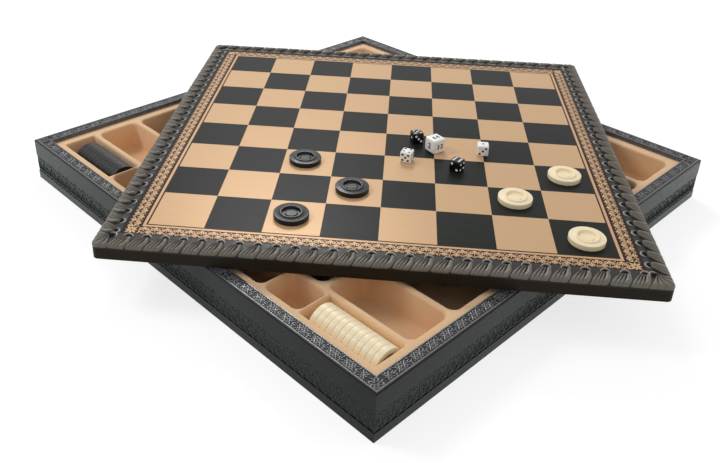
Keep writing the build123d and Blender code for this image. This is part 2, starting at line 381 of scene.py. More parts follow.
class Tree:
    """Short ways to add and join nodes."""

    def __init__(self, tree):
        self.tree = tree

    def put(self, socket, value):
        if isinstance(value, bpy.types.Node):
            value = value.outputs[0]
        if isinstance(value, bpy.types.NodeSocket):
            self.tree.links.new(value, socket)
        else:
            socket.default_value = value

    def add(self, kind, inputs=None, **settings):
        node = self.tree.nodes.new(kind)
        for key, value in settings.items():
            setattr(node, key, value)
        for key, value in (inputs or {}).items():
            self.put(node.inputs[key], value)
        return node

    def math(self, operation, first, second=0.0):
        return self.add("ShaderNodeMath", {0: first, 1: second}, operation=operation).outputs[0]

    def plus(self, first, second):
        return self.math("ADD", first, second)

    def minus(self, first, second):
        return self.math("SUBTRACT", first, second)

    def times(self, first, second):
        return self.math("MULTIPLY", first, second)

    def over(self, first, second):
        return self.math("DIVIDE", first, second)

    def noise(self, place, scale, **more):
        return self.add("ShaderNodeTexNoise", {"Vector": place, "Scale": scale, **more}).outputs["Fac"]

    def effect(self, group, **inputs):
        """A surface effect placed with its own values."""
        return self.add("ShaderNodeGroup", inputs, node_tree=group).outputs

    def shades(self, amount, tint, low, high):
        """A tint that runs from low to high times itself."""
        return self.mix(amount, rgba(tint, low), rgba(tint, high))

    def mix(self, amount, first, second):
        """A colour between first and second."""
        node = self.add("ShaderNodeMix", data_type="RGBA")
        self.put(node.inputs[0], amount)
        self.put(node.inputs[6], first)
        self.put(node.inputs[7], second)
        return node.outputs[2]

    def remap(self, value, low, high, new_low=0.0, new_high=1.0):
        inputs = {0: value, 1: low, 2: high, 3: new_low, 4: new_high}
        return self.add("ShaderNodeMapRange", inputs).outputs[0]

    def bump(self, height, distance):
        values = {"Height": height, "Distance": distance, "Strength": 1.0}
        return self.add("ShaderNodeBump", values).outputs[0]


def rgba(value, factor=1.0):
    return (value[0] * factor, value[1] * factor, value[2] * factor, 1.0)


def group_tree(name, kind, inputs, outputs):
    """A node group with named inputs as (name, type, default) and outputs as (name, type)."""
    group = bpy.data.node_groups.new(name, kind)
    for title, socket_type, default in inputs:
        socket = group.interface.new_socket(title, in_out="INPUT", socket_type=socket_type)
        if default is not None:
            socket.default_value = default
    for title, socket_type in outputs:
        group.interface.new_socket(title, in_out="OUTPUT", socket_type=socket_type)
    tree = Tree(group)
    return tree, tree.add("NodeGroupInput").outputs, tree.add("NodeGroupOutput").inputs


ROWS = "Rows round a square"
SWAY = 0.6  # the unevenness in turn, as a share of the unevenness in size
SWAY_SEED = 7.0  # added to the seed, so that the turns are draws of their own


def rows_tree():
    """Geometry nodes that repeat one shape along each side of a square, with slight unevenness."""
    floats, whole, vector = "NodeSocketFloat", "NodeSocketInt", "NodeSocketVector"
    inputs = [("Piece", "NodeSocketObject", None), ("Finish", "NodeSocketMaterial", None),
              ("Sides", whole, 4), ("Count", whole, 10), ("Pitch", floats, 0.01), ("Start", vector, None),
              ("Unevenness", floats, 0.0), ("Seed", whole, 1), ("Place", vector, None), ("Turn", floats, 0.0)]
    tree, given, result = group_tree(ROWS, "GeometryNodeTree", inputs, [("Geometry", "NodeSocketGeometry")])
    index = tree.add("GeometryNodeInputIndex").outputs[0]
    side = tree.math("FLOOR", tree.over(index, given["Count"]))
    step = tree.minus(index, tree.times(side, given["Count"]))
    angle = tree.times(side, math.pi / 2)
    along = tree.add("ShaderNodeCombineXYZ", {"X": tree.times(step, given["Pitch"])})
    spot = tree.add("ShaderNodeVectorMath", {0: along, 1: given["Start"]}, operation="ADD")
    around = tree.add("ShaderNodeVectorRotate", {"Vector": spot, "Angle": angle}, rotation_type="Z_AXIS")
    total = tree.times(given["Count"], given["Sides"])
    dots = tree.add("GeometryNodePoints", {"Count": total, "Position": around})
    low = tree.minus(1.0, given["Unevenness"])
    high = tree.plus(1.0, given["Unevenness"])
    size = tree.add("FunctionNodeRandomValue", data_type="FLOAT_VECTOR")
    tree.put(size.inputs[0], tree.add("ShaderNodeCombineXYZ", {0: low, 1: low, 2: low}))
    tree.put(size.inputs[1], tree.add("ShaderNodeCombineXYZ", {0: high, 1: high, 2: high}))
    tree.put(size.inputs["Seed"], given["Seed"])
    sway = tree.add("FunctionNodeRandomValue", data_type="FLOAT")
    tree.put(sway.inputs[2], tree.times(given["Unevenness"], -SWAY))
    tree.put(sway.inputs[3], tree.times(given["Unevenness"], SWAY))
    tree.put(sway.inputs["Seed"], tree.plus(given["Seed"], SWAY_SEED))
    heading = tree.add("ShaderNodeCombineXYZ", {"Z": tree.plus(angle, sway.outputs[1])})
    shape = tree.add("GeometryNodeObjectInfo", {"Object": given["Piece"]})
    copies = tree.add("GeometryNodeInstanceOnPoints", {
        "Points": dots, "Instance": shape.outputs["Geometry"], "Rotation": heading, "Scale": size})
    final_turn = tree.add("ShaderNodeCombineXYZ", {"Z": given["Turn"]})
    placed = tree.add("GeometryNodeTransform", {
        "Geometry": copies, "Translation": given["Place"], "Rotation": final_turn})
    solid = tree.add("GeometryNodeRealizeInstances", {"Geometry": placed})
    dressed = tree.add("GeometryNodeSetMaterial", {"Geometry": solid, "Material": given["Finish"]})
    tree.put(result["Geometry"], dressed)
    return tree.tree


def repeated(name, shape, material, **values):
    """A plain mesh object made by the rows tree from one shape. Values are named as the tree's inputs."""
    tree = bpy.data.node_groups.get(ROWS) or rows_tree()
    unit = add_object(name + "_unit", shape)
    carrier = add_object(name + "_rows", bpy.data.meshes.new(name + "_rows"))
    rows = carrier.modifiers.new("Rows", "NODES")
    rows.node_group = tree
    values = {"Piece": unit, "Finish": material, **values}
    for item in tree.interface.items_tree:
        if item.in_out == "INPUT" and item.name in values:
            rows[item.identifier] = values[item.name]
    mesh = evaluated_mesh(carrier, unit)
    mesh.name = name
    if not mesh.polygons:
        raise RuntimeError(f"the rows for {name} came out empty")
    return add_object(name, mesh)


# Surface effects that several finishes share

def effect(name, inputs, outputs, build):
    """The shader node group of that name, made on first use."""
    group = bpy.data.node_groups.get(name)
    if group:
        return group
    tree, given, result = group_tree(name, "ShaderNodeTree", inputs, outputs)
    build(tree, given, result)
    return tree.tree


def build_grain(tree, given, result):
    """Pebbled leather: fine cells, broken by a coarser unevenness."""
    place, scale = given["Coordinate"], given["Scale"]
    cells = tree.add("ShaderNodeTexVoronoi", {"Vector": place, "Scale": scale}, feature="DISTANCE_TO_EDGE")
    broad = tree.noise(place, tree.times(scale, 0.12), Detail=4.0)
    fine = tree.noise(place, tree.times(scale, 2.6), Detail=2.0)
    pebble = tree.remap(cells.outputs["Distance"], 0.0, 0.35)
    tree.put(result["Height"], tree.plus(tree.times(pebble, 0.7), tree.times(fine, 0.5)))
    tree.put(result["Mottle"], broad)


def grain_group():
    inputs = [("Coordinate", "NodeSocketVector", None), ("Scale", "NodeSocketFloat", 900.0)]
    outputs = [("Height", "NodeSocketFloat"), ("Mottle", "NodeSocketFloat")]
    return effect("Leather grain", inputs, outputs, build_grain)


def build_wear(tree, given, result):
    """A patchy mask of small rubbed places and dust."""
    patches = tree.noise(given["Coordinate"], given["Scale"], Detail=5.0, Roughness=0.65)
    low = tree.minus(0.72, given["Amount"])
    tree.put(result["Mask"], tree.remap(patches, low, tree.plus(low, 0.25)))


def wear_group():
    inputs = [("Coordinate", "NodeSocketVector", None), ("Scale", "NodeSocketFloat", 60.0),
              ("Amount", "NodeSocketFloat", 0.1)]
    return effect("Rubbed places", inputs, [("Mask", "NodeSocketFloat")], build_wear)


def build_brush(tree, given, result):
    """Long fine streaks along X."""
    stretched = tree.add("ShaderNodeMapping", {"Vector": given["Coordinate"], "Scale": (0.03, 1.0, 1.0)})
    tree.put(result["Streak"], tree.noise(stretched, given["Scale"], Detail=5.0, Roughness=0.7))


def brush_group():
    inputs = [("Coordinate", "NodeSocketVector", None), ("Scale", "NodeSocketFloat", 1200.0)]
    return effect("Brushed streaks", inputs, [("Streak", "NodeSocketFloat")], build_brush)


# Finishes

def tint_of(field):
    return getattr(bpy.context.scene.finish_colours, field)


def new_finish(name, **values):
    """A material with its shader, and the values that are the same all over it."""
    material = bpy.data.materials.new(name)
    material.use_nodes = True
    tree = Tree(material.node_tree)
    shader = material.node_tree.nodes["Principled BSDF"]
    for key, value in values.items():
        shader.inputs[key.replace("_", " ")].default_value = value
    place = tree.add("ShaderNodeTexCoord").outputs["Object"]
    return material, tree, shader.inputs, place


SHEEN_TINT = (0.84, 1.0, 0.93, 1.0)


def leather_finish(name, tint, roughness, scale, depth, wear, gloss, crease_shaded=False, sheen=0.0):
    """Leather or leatherette: grain in the surface, a mottled tint and small rubbed places. Where asked, it
    also paints shade into the creases and a painted highlight on the folds' backs.
    """
    material, tree, surface, place = new_finish(name, Specular_IOR_Level=gloss, Sheen_Weight=sheen,
                                                Sheen_Roughness=0.28, Sheen_Tint=SHEEN_TINT)
    grain = tree.effect(grain_group(), Coordinate=place, Scale=scale)
    rubbed = tree.effect(wear_group(), Coordinate=place, Amount=wear)["Mask"]
    tinted = tree.mix(rubbed, tree.shades(grain["Mottle"], tint, 0.82, 1.18), rgba(tint, 1.5))
    rough = tree.remap(grain["Mottle"], 0.3, 0.7, roughness - 0.06, roughness + 0.08)
    if crease_shaded:
        # Painted shade and highlight: the crease attribute darkens the creases nearly to black, and the
        # folds' backs are lightened.
        crease = tree.add("ShaderNodeAttribute", attribute_name="crease").outputs["Fac"]
        tinted = tree.mix(crease, tree.mix(0.3, tinted, rgba(tint, 1.7)), rgba(tint, 0.04))
        rough = tree.plus(rough, tree.times(crease, 0.5))
    tree.put(surface["Base Color"], tinted)
    tree.put(surface["Roughness"], rough)
    tree.put(surface["Normal"], tree.bump(grain["Height"], depth))
    return material


def plastic_finish(name, tint, roughness, coat, gloss):
    """Moulded plastic with a faint cloudiness and fine handling marks."""
    material, tree, surface, place = new_finish(name, Coat_Weight=coat, Coat_Roughness=0.12,
                                                Specular_IOR_Level=gloss)
    marks = tree.noise(place, 700.0, Detail=4.0)
    tree.put(surface["Base Color"], tree.shades(tree.noise(place, 90.0, Detail=3.0), tint, 0.93, 1.05))
    tree.put(surface["Roughness"], tree.remap(marks, 0.3, 0.7, roughness - 0.05, roughness + 0.07))
    tree.put(surface["Normal"], tree.bump(marks, 0.00002))
    return material


def flock_finish():
    """Short soft pile: speckled tint, a velvet sheen and a fine nap."""
    material, tree, surface, place = new_finish("tray_flock", Sheen_Weight=0.35, Sheen_Roughness=0.5,
                                                Specular_IOR_Level=0.15, Roughness=0.95)
    pile = tree.noise(place, 2600.0, Detail=2.0)
    nap = tree.noise(place, 55.0, Detail=4.0, Roughness=0.6)
    speck = tree.shades(pile, tint_of("flock"), 0.86, 1.08)
    brushed = tree.remap(nap, 0.35, 0.7, 0.0, 0.35)
    tree.put(surface["Base Color"], tree.mix(brushed, speck, rgba(tint_of("flock"), 0.85)))
    tree.put(surface["Normal"], tree.bump(pile, 0.00012))
    return material


def wood_finish():
    """Plain board wood with straight grain."""
    material, tree, surface, place = new_finish("panel_wood")
    stretched = tree.add("ShaderNodeMapping", {"Vector": place, "Scale": (1.0, 14.0, 14.0)})
    rings = tree.noise(stretched, 12.0, Detail=6.0, Distortion=1.2)
    tree.put(surface["Base Color"], tree.shades(rings, tint_of("wood"), 0.7, 1.15))
    tree.put(surface["Roughness"], tree.remap(rings, 0.0, 1.0, 0.55, 0.75))
    tree.put(surface["Normal"], tree.bump(tree.noise(stretched, 160.0, Detail=3.0), 0.00008))
    return material


def board_place():
    """Where the board lies: its middle, at the level of its underside."""
    low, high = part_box("board_core")
    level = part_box("board_backgammon_frame")[0].z
    return Vector(((low.x + high.x) / 2, (low.y + high.y) / 2, level))


def board_matrix():
    return Matrix.Translation(board_place()) @ Matrix.Rotation(bpy.context.scene.board_sizes.turn, 4, "Z")


def board_coordinates(tree, place):
    """The point in the board's own frame, in metres."""
    sizes = bpy.context.scene.board_sizes
    inputs = {"Vector": place, "Location": board_place(), "Rotation": (0.0, 0.0, sizes.turn)}
    mapped = tree.add("ShaderNodeMapping", inputs, vector_type="TEXTURE")
    return tree.add("ShaderNodeSeparateXYZ", {0: mapped}).outputs, mapped.outputs[0]


FIRST_SQUARE, LAST_SQUARE = -4.0, 3.0  # numbers of a row's squares, counted from the board's middle


def square_mask(tree, x, y, sizes):
    """1 on the light squares and 0 on the dark ones."""
    numbers = []
    for value, shift in ((x, sizes.grid_shift_x), (y, sizes.grid_shift_y)):
        number = tree.math("FLOOR", tree.over(tree.minus(value, shift), sizes.square))
        numbers.append(tree.math("MAXIMUM", tree.math("MINIMUM", number, LAST_SQUARE), FIRST_SQUARE))
    both = tree.math("ABSOLUTE", tree.plus(*numbers))
    return tree.minus(1.0, tree.math("MODULO", both, 2.0))


def beyond(tree, value, middle, half):
    """How far a place lies outside a strip about a middle."""
    return tree.minus(tree.math("ABSOLUTE", tree.minus(value, middle)), half)


BAND_MARGIN = 0.0006  # brown ground beyond the scroll band


def playing_print():
    """The printed playing field: satin gold and dark squares, the lines round them and the dark border."""
    sizes = bpy.context.scene.board_sizes
    colours = bpy.context.scene.finish_colours
    material, tree, surface, place = new_finish("playing_print", Specular_IOR_Level=0.08)
    (x, y, _), mapped = board_coordinates(tree, place)
    light = square_mask(tree, x, y, sizes)
    out = tree.math("MAXIMUM", beyond(tree, x, sizes.frame_shift_x, sizes.frame_half_x),
                    beyond(tree, y, sizes.frame_shift_y, sizes.frame_half_y))
    in_field = tree.math("LESS_THAN", out, 0.0)
    beyond_line = tree.math("GREATER_THAN", out, sizes.line)
    beyond_gold = tree.math("GREATER_THAN", out, sizes.line + sizes.gold_line)
    gold_mask = tree.math("MAXIMUM", tree.times(light, in_field), tree.minus(beyond_line, beyond_gold))
    streak = tree.effect(brush_group(), Coordinate=mapped)["Streak"]
    specks = tree.effect(wear_group(), Coordinate=mapped, Scale=900.0, Amount=0.0)["Mask"]
    gold = tree.shades(streak, colours.gold, 0.88, 1.1)
    dark = tree.shades(tree.remap(streak, 0.36, 0.64), colours.dark, 0.72, 1.5)
    dark = tree.mix(specks, dark, rgba(colours.dark, 6.0))
    band_end = sizes.line + sizes.gold_line + sizes.band_gap + sizes.band_width + BAND_MARGIN
    on_band = tree.math("LESS_THAN", out, band_end)
    ground = tree.mix(in_field, tree.mix(on_band, rgba(colours.edge_leather), rgba(colours.brown)), dark)
    tree.put(surface["Base Color"], tree.mix(gold_mask, ground, gold))
    tree.put(surface["Roughness"], tree.remap(streak, 0.3, 0.7, 0.26, 0.44))
    tree.put(surface["Metallic"], tree.times(gold_mask, 0.15))
    tree.put(surface["Normal"], tree.bump(streak, 0.00003))
    return material


POINTS_START = 0.010  # from the middle bar's middle to the first point
POINTS_END = 0.1907  # from the middle to the end of a row of points
POINT_GAP = 0.006  # how much nearer the middle their bases lie
POINT_LENGTH = 0.145
POINT_HALF = 0.44  # half of a point's base, as a share of the pitch


def backgammon_print():
    """The backgammon field underneath: twelve points from each side in two colours."""
    colours = bpy.context.scene.finish_colours
    material, tree, surface, place = new_finish("backgammon_print", Specular_IOR_Level=0.25)
    (x, y, _), mapped = board_coordinates(tree, place)
    across = tree.minus(tree.math("ABSOLUTE", x), POINTS_START)
    number = tree.over(across, (POINTS_END - POINTS_START) / 6)
    middle = tree.math("ABSOLUTE", tree.minus(tree.math("FRACT", number), 0.5))
    from_edge = tree.minus(POINTS_END - POINT_GAP, tree.math("ABSOLUTE", y))
    width = tree.times(tree.minus(1.0, tree.over(from_edge, POINT_LENGTH)), POINT_HALF)
    point = tree.times(tree.math("LESS_THAN", middle, width), tree.math("GREATER_THAN", from_edge, 0.0))
    half = tree.math("GREATER_THAN", y, 0.0)
    right = tree.math("GREATER_THAN", x, 0.0)
    odd = tree.math("MODULO", tree.plus(tree.math("FLOOR", number), tree.plus(half, right)), 2.0)
    streak = tree.effect(brush_group(), Coordinate=mapped)["Streak"]
    gold = tree.shades(streak, colours.gold, 0.88, 1.1)
    brown = tree.shades(streak, colours.brown, 0.9, 1.3)
    ground = tree.shades(streak, colours.dark, 0.8, 1.2)
    tree.put(surface["Base Color"], tree.mix(point, ground, tree.mix(odd, brown, gold)))
    tree.put(surface["Roughness"], tree.remap(streak, 0.3, 0.7, 0.34, 0.46))
    tree.put(surface["Normal"], tree.bump(streak, 0.00003))
    return material


def gold_foil():
    """Pressed gold foil of the scroll bands."""
    material, tree, surface, place = new_finish("gold_foil", Metallic=0.15, Specular_IOR_Level=0.2)
    patch = tree.noise(place, 500.0, Detail=3.0)
    tree.put(surface["Base Color"], tree.shades(patch, tint_of("gold"), 0.85, 1.25))
    tree.put(surface["Roughness"], tree.remap(patch, 0.3, 0.7, 0.32, 0.46))
    return material


# Painted shade for the lace holes, paler and darker by noise.
HOLE_SHADE = (0.004, 0.004, 0.004, 1)
HOLE_SHADE_PALE = (0.012, 0.011, 0.010, 1)


def hole_finish():
    """Painted shade for the inside of a lace hole: near-black, with faint paler patches."""
    material, tree, surface, place = new_finish("lace_hole", Specular_IOR_Level=0.1, Roughness=0.9)
    tree.put(surface["Base Color"], tree.mix(tree.noise(place, 900.0), HOLE_SHADE, HOLE_SHADE_PALE))
    return material


# Each leather's colour, roughness, grain scale, grain depth, wear and gloss
LEATHERS = {
    "case_leatherette": ("case_leather", 0.2, 1500.0, 0.00004, 0.02, 0.08),
    "base_leatherette": ("case_leather", 0.6, 1300.0, 0.00006, 0.02, 0.3),
    "pressed_line": ("pressed", 0.7, 1500.0, 0.00003, 0.0, 0.08),
    "worn_leather": ("worn_leather", 0.3, 1300.0, 0.00006, 0.1, 0.6),
    "rim_leatherette": ("rim_leather", 0.26, 1800.0, 0.00003, 0.06, 0.8),
    "rim_ground": ("rim_ground", 0.4, 1800.0, 0.00003, 0.02, 0.2),
    "edge_leather": ("edge_leather", 0.34, 1300.0, 0.00006, 0.06, 0.26),
    "binding_leather": ("binding", 0.5, 1300.0, 0.00006, 0.05, 0.07),
    "lace_leather": ("lace_leather", 0.3, 1000.0, 0.00006, 0.14, 0.45),
}
LEATHER_EXTRAS = {"case_leatherette": {"sheen": 1.0}, "lace_leather": {"crease_shaded": True}}

# Each plastic's colour, roughness, coat and gloss
PLASTICS = {
    "ivory_checker": ("ivory", 0.35, 0.0, 0.4),
    "black_checker": ("black", 0.3, 0.0, 0.32),
    "white_die": ("white_die", 0.25, 0.3, 0.4),
    "black_die": ("black_die", 0.2, 0.0, 0.3),
    "doubling_cube": ("white_die", 0.25, 0.3, 0.4),
    "dark_mark": ("black_die", 0.4, 0.0, 0.4),
    "light_mark": ("white_die", 0.4, 0.0, 0.4),
}
# The finishes with functions of their own
OTHERS = {"tray_flock": flock_finish, "panel_wood": wood_finish, "playing_print": playing_print,
          "backgammon_print": backgammon_print, "gold_foil": gold_foil, "lace_hole": hole_finish}


def make_finish(name):
    if name in LEATHERS:
        field, *surface = LEATHERS[name]
        return leather_finish(name, tint_of(field), *surface, **LEATHER_EXTRAS.get(name, {}))
    if name in PLASTICS:
        field, *surface = PLASTICS[name]
        return plastic_finish(name, tint_of(field), *surface)
    return OTHERS[name]()


def finish(name):
    """The material for a finish, made on first use."""
    found = bpy.data.materials.get(name + "_finish")
    if found:
        return found
    made = make_finish(name)
    made.name = name + "_finish"
    return made


def dress(node, name):
    """Gives a CAD node its finish."""
    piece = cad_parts[node]
    for held in piece.material_slots:
        held.material = finish(name)
    if not piece.material_slots:
        piece.data.materials.append(finish(name))


def settle(piece, body, slot, *nodes):
    """Puts a finished piece on its body and hides the CAD nodes that it stands for."""
    if not piece.data.materials:
        piece.data.materials.append(finish(slot))
    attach(piece, body)
    if nodes:
        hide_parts(*nodes)


# Board

# One lace from its hole over the leather's edge and down the board's side. Each step gives the depth as a
# share of the reach, the height in lace heights, the width as a share, the thickness in lace heights, and the
# way that the lace's face looks, inwards and up.
LACE_PATH = [
    (1.05, -0.8, 0.26, 0.4, 0, 1), (1.02, 0.3, 0.38, 0.8, 0, 1), (0.98, 1.4, 0.48, 1.5, 0, 1),
    (0.90, 2.1, 0.58, 2.1, 0, 1), (0.80, 2.2, 0.68, 2.2, 0, 1), (0.68, 1.9, 0.79, 1.9, 0, 1),
    (0.55, 1.6, 0.88, 1.6, 0, 1), (0.41, 1.4, 0.95, 1.4, 0, 1), (0.27, 1.2, 0.99, 1.2, -0.2, 0.95),
    (0.14, 0.8, 1.0, 1.1, -0.5, 0.85), (0.045, 0.0, 1.0, 1.0, -0.8, 0.6), (0.0, -0.9, 1.0, 0.9, -0.97, 0.2),
    (-0.02, -1.8, 1.0, 0.8, -1, 0), (-0.01, -2.5, 1.0, 0.6, -0.9, -0.4), (0.03, -2.9, 1.0, 0.4, -0.3, -0.9),
]
LACE_FOOT = 2.9  # how far below the leather's top the path ends, in lace heights
FOOT_DRIFT = 0.24  # how far a lace runs on sideways on its way down there, as a share of the slant
LACE_BACK = 0.4  # how much further in a lace's back lies than its thickness, in lace heights
BACK_PLACES = (0.7, 0.0, -0.7)  # points on a lace's back, as shares of half its width
FOLD_STEPS = (-1, -0.62, 0.0, 0.62)  # columns of points across one fold
# Each fold's start, end and height as shares, from one side of the strap to the other
LACE_FOLDS = ((-1, -0.56, 0.88), (-0.56, -0.18, 1.0), (-0.18, 0.2, 0.9), (0.2, 1, 1.04))
FOLD_CURVE = 1.8  # power of a fold's round section
STRAP_CURVE = 5  # power of the smooth strap's section, where the folds run out


def ramp(value, low, high):
    """0 up to low, 1 from high on, and straight between them."""
    return max(0.0, min(1.0, (value - low) / (high - low)))


def lace_fade(row):
    """How far a step of the path smooths the folds, how high the sides are there and how strong the painted
    shade in the creases is.
    """
    return 0.85 * ramp(row, 7, 12), 0.5 * ramp(row, 8, 12), 1 - 0.8 * ramp(row, 6, 11)


def arch_of(u):
    """Height share across one fold, from 0 at its edges to 1 in its middle."""
    return math.sqrt(1 - abs(u) ** FOLD_CURVE)


def crease_of(arch):
    """0 on the back of a fold and 1 in the crease beside it."""
    return ramp(-arch, -0.85, -0.2)


def fold_columns(row):
    """The strap's surface across it at a step of the path, as (place, height share, painted shade of the
    crease).
    """
    merge, edge, dark = lace_fade(row)
    columns = []
    for number, (start, end, tall) in enumerate(LACE_FOLDS):
        for u in FOLD_STEPS:
            arch = tall * arch_of(u)
            place = (start + end + u * (end - start)) / 2
            smooth = math.sqrt(1 - abs(place) ** STRAP_CURVE)
            crease = dark * crease_of(arch)
            # The strap's outer edges get full painted shade, for the dark gaps between laces.
            outermost = number == 0 and u == -1
            columns.append((place, edge, 1) if outermost else (place, arch + (smooth - arch) * merge, crease))
    columns.append((1, edge, 1))
    return columns


def lace_shape(sizes):
    """One lace on the board's front edge: a strap pleated into its hole, spread flat over the edge."""
    proud = sizes.lace_proud
    rings = []
    creases = []
    for row, (share_in, rise, wide, thick, face_in, face_up) in enumerate(LACE_PATH):
        depth = share_in * sizes.lace_reach
        middle = sizes.lace_slant * (share_in - FOOT_DRIFT * ramp(-rise, 0, LACE_FOOT))
        half = wide * sizes.lace_width / 2
        columns = [(t, -(1 - tall) * thick * proud, crease) for t, tall, crease in fold_columns(row)]
        # The lace's back is painted fully dark, as shade under the strap.
        columns += [(t, -(thick + LACE_BACK) * proud, 1.0) for t in BACK_PLACES]
        rings.append([(middle + t * half, depth + sink * face_in, rise * proud + sink * face_up)
                      for t, sink, _ in columns])
        creases += [crease for _, _, crease in columns]
    return loft_mesh("lace", rings, 70, creases, start_cap=True, end_cap=True)


def corner_distance(angle, reach, radius):
    """From a corner's hole to the outline with its round corner, along a direction."""
    x, y = math.cos(angle), math.sin(angle)
    distance = min(reach / abs(x) if x < 0 else 1.0, reach / abs(y) if y < 0 else 1.0)
    centre = -reach + radius
    if distance * x < centre and distance * y < centre:
        along = centre * (x + y)
        distance = along + math.sqrt(along * along - 2 * centre * centre + radius * radius)
    return distance


CORNER_FOLDS = 5
CORNER_BACK = 7  # points under the corner's strap
CORNER_FAN = (math.radians(-83), math.radians(-210))  # the strap's two sides, seen from the hole
CORNER_DRIFT = math.radians(-5.3)  # how far it turns on its way down the board's side
CORNER_CORE = 0.0012  # least distance of the strap's face from the hole's middle
CORNER_BACK_CORE = 0.0010  # and of its back


def corner_shape(sizes):
    """Pleats that fan round one corner from a single hole, about that hole."""
    reach = sizes.lace_reach
    proud = sizes.lace_proud
    first, last = CORNER_FAN
    rings = []
    creases = []
    for row, (share_in, rise, _, thick, face_in, face_up) in enumerate(LACE_PATH):
        merge, edge, dark = lace_fade(row)
        lean = CORNER_DRIFT * ramp(-rise, 0, LACE_FOOT)
        columns = []
        for number in range(CORNER_FOLDS * 4 + 1):
            u = FOLD_STEPS[number % 4]
            angle = first + (last - first) * (number // 4 + (u + 1) / 2) / CORNER_FOLDS + lean
            arch = arch_of(u)
            tall = edge if number in (0, CORNER_FOLDS * 4) else arch + (1 - arch) * merge
            columns.append((angle, CORNER_CORE, -(1 - tall) * thick * proud, dark * crease_of(arch)))
        # The strap's back is painted fully dark, as shade under it; its folds carry painted crease shade like
        # the laces'.
        for step in range(CORNER_BACK):
            angle = last + (first - last) * (step + 0.5) / CORNER_BACK + lean
            columns.append((angle, CORNER_BACK_CORE, -(thick + LACE_BACK) * proud, 1.0))
        ring = []
        for angle, least, sink, crease in columns:
            path = corner_distance(angle, reach, sizes.corner) * (1 - share_in)
            radius = max(path, least) - sink * face_in
            ring.append((*polar(radius, angle), rise * proud + sink * face_up))
            creases.append(crease)
        rings.append(ring)
    return loft_mesh("corner_lace", rings, 70, creases, start_cap=True, end_cap=True)


# Rings from a hole's outer edge inwards, as shares of its radius, with their heights above the leather
HOLE_RINGS = ((1.25, -0.0002), (1.15, 0.00022), (1.0, 0.00022), (0.86, 0.00003), (0.3, 0.00002))
HOLE_TAPER = 0.28  # how much longer the teardrop is towards the board's side, and shorter the other way


def hole_shape(sizes):
    """The teardrop of one lace hole, sunk in its pressed lip: a shallow dish, made near-black as painted
    shade of the hole.
    """
    sides = 16
    rings = []
    for grow, level in HOLE_RINGS:
        ring = []
        for i in range(sides):
            angle = 2 * math.pi * i / sides
            radius = grow * sizes.hole / 2 * (1 + HOLE_TAPER * math.cos(angle + math.pi / 2))
            ring.append((*polar(radius, angle), level))
        rings.append(ring)
    return loft_mesh("lace_hole", rings, 60, start_cap=True, end_cap=True)


def board_half():
    """Half of the board's side, from its turned box."""
    low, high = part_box("board_edge_binding")
    return turned_half(high.x - low.x)


def turned_half(reach):
    """Half side of a square with round corners, from the width of its turned box."""
    sizes = bpy.context.scene.board_sizes
    spread = abs(math.cos(sizes.turn)) + abs(math.sin(sizes.turn))
    return (reach / 2 - sizes.corner * (1 - spread)) / spread


def board_top():
    """Height of the playing sheet above the board's underside."""
    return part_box("board_playing_sheet")[1].z - board_place().z


LIP_THICK = 0.00075  # half of a lip's thickness, seen from above
LIP_TALL = 0.0011
LIP_START, LIP_SPAN = 2, 176  # degrees round the hole
LIP_OUT = 0.80  # from the hole's middle to the lip's, as a share of the hole's width
LIP_THIN = 0.35  # thickness at a lip's ends, as a share of that in its middle


def lip_shape(sizes):
    """The raised edge behind one lace hole, thinning out to both ends, in a pale finish that is partly rubbed
    wear and partly a painted highlight.
    """
    steps, sides = 8, 6
    rings = []
    for step in range(steps + 1):
        angle = math.radians(LIP_START + LIP_SPAN * step / steps)
        thin = LIP_THIN + (1 - LIP_THIN) * math.sin(math.pi * step / steps)
        ring = []
        for number in range(sides):
            turn = math.pi * 2 * number / sides
            radius = sizes.hole * LIP_OUT + LIP_THICK * thin * math.cos(turn)
            ring.append((*polar(radius, angle), LIP_TALL * thin * math.sin(turn)))
        rings.append(ring)
    return loft_mesh("hole_lip", rings, 80, start_cap=True, end_cap=True)


def joined(name, pieces):
    """One mesh object from several."""
    work = bmesh.new()
    for piece in pieces:
        work.from_mesh(piece.data)
        bpy.data.objects.remove(piece)
    return add_object(name, smooth_mesh(mesh_from_work(work, name), 60))


def round_board(name, kind, shape, corner, depths, aside, unevenness):
    """Copies of a shape along the board's four edges and of another at its corners, as one piece."""
    sizes = bpy.context.scene.board_sizes
    half = board_half()
    top = board_top()
    row_depth, corner_depth = depths
    start = -(sizes.lace_count - 1) * sizes.lace_pitch / 2 - sizes.lace_slant / 2 + aside
    lie = {"Place": tuple(board_place()), "Turn": sizes.turn}
    rows = repeated(name + "_rows", shape, finish(kind), Count=sizes.lace_count, Pitch=sizes.lace_pitch,
                    Start=(start, -half + row_depth, top), Unevenness=unevenness, **lie)
    place = -half + corner_depth
    corners = repeated(name + "_corners", corner, finish(kind), Count=1, Pitch=0.0,
                       Start=(place, place, top), **lie)
    piece = joined(name, [rows, corners])
    piece.data.materials.append(finish(kind))
    return piece


BOARD_EDGES = ("front", "right", "back", "left")
HOLE_GAP = 0.0012  # from a lace's inner end to the middle of its hole
HOLE_ASIDE = 1.08  # how far a hole lies beside its lace, as a share of the slant


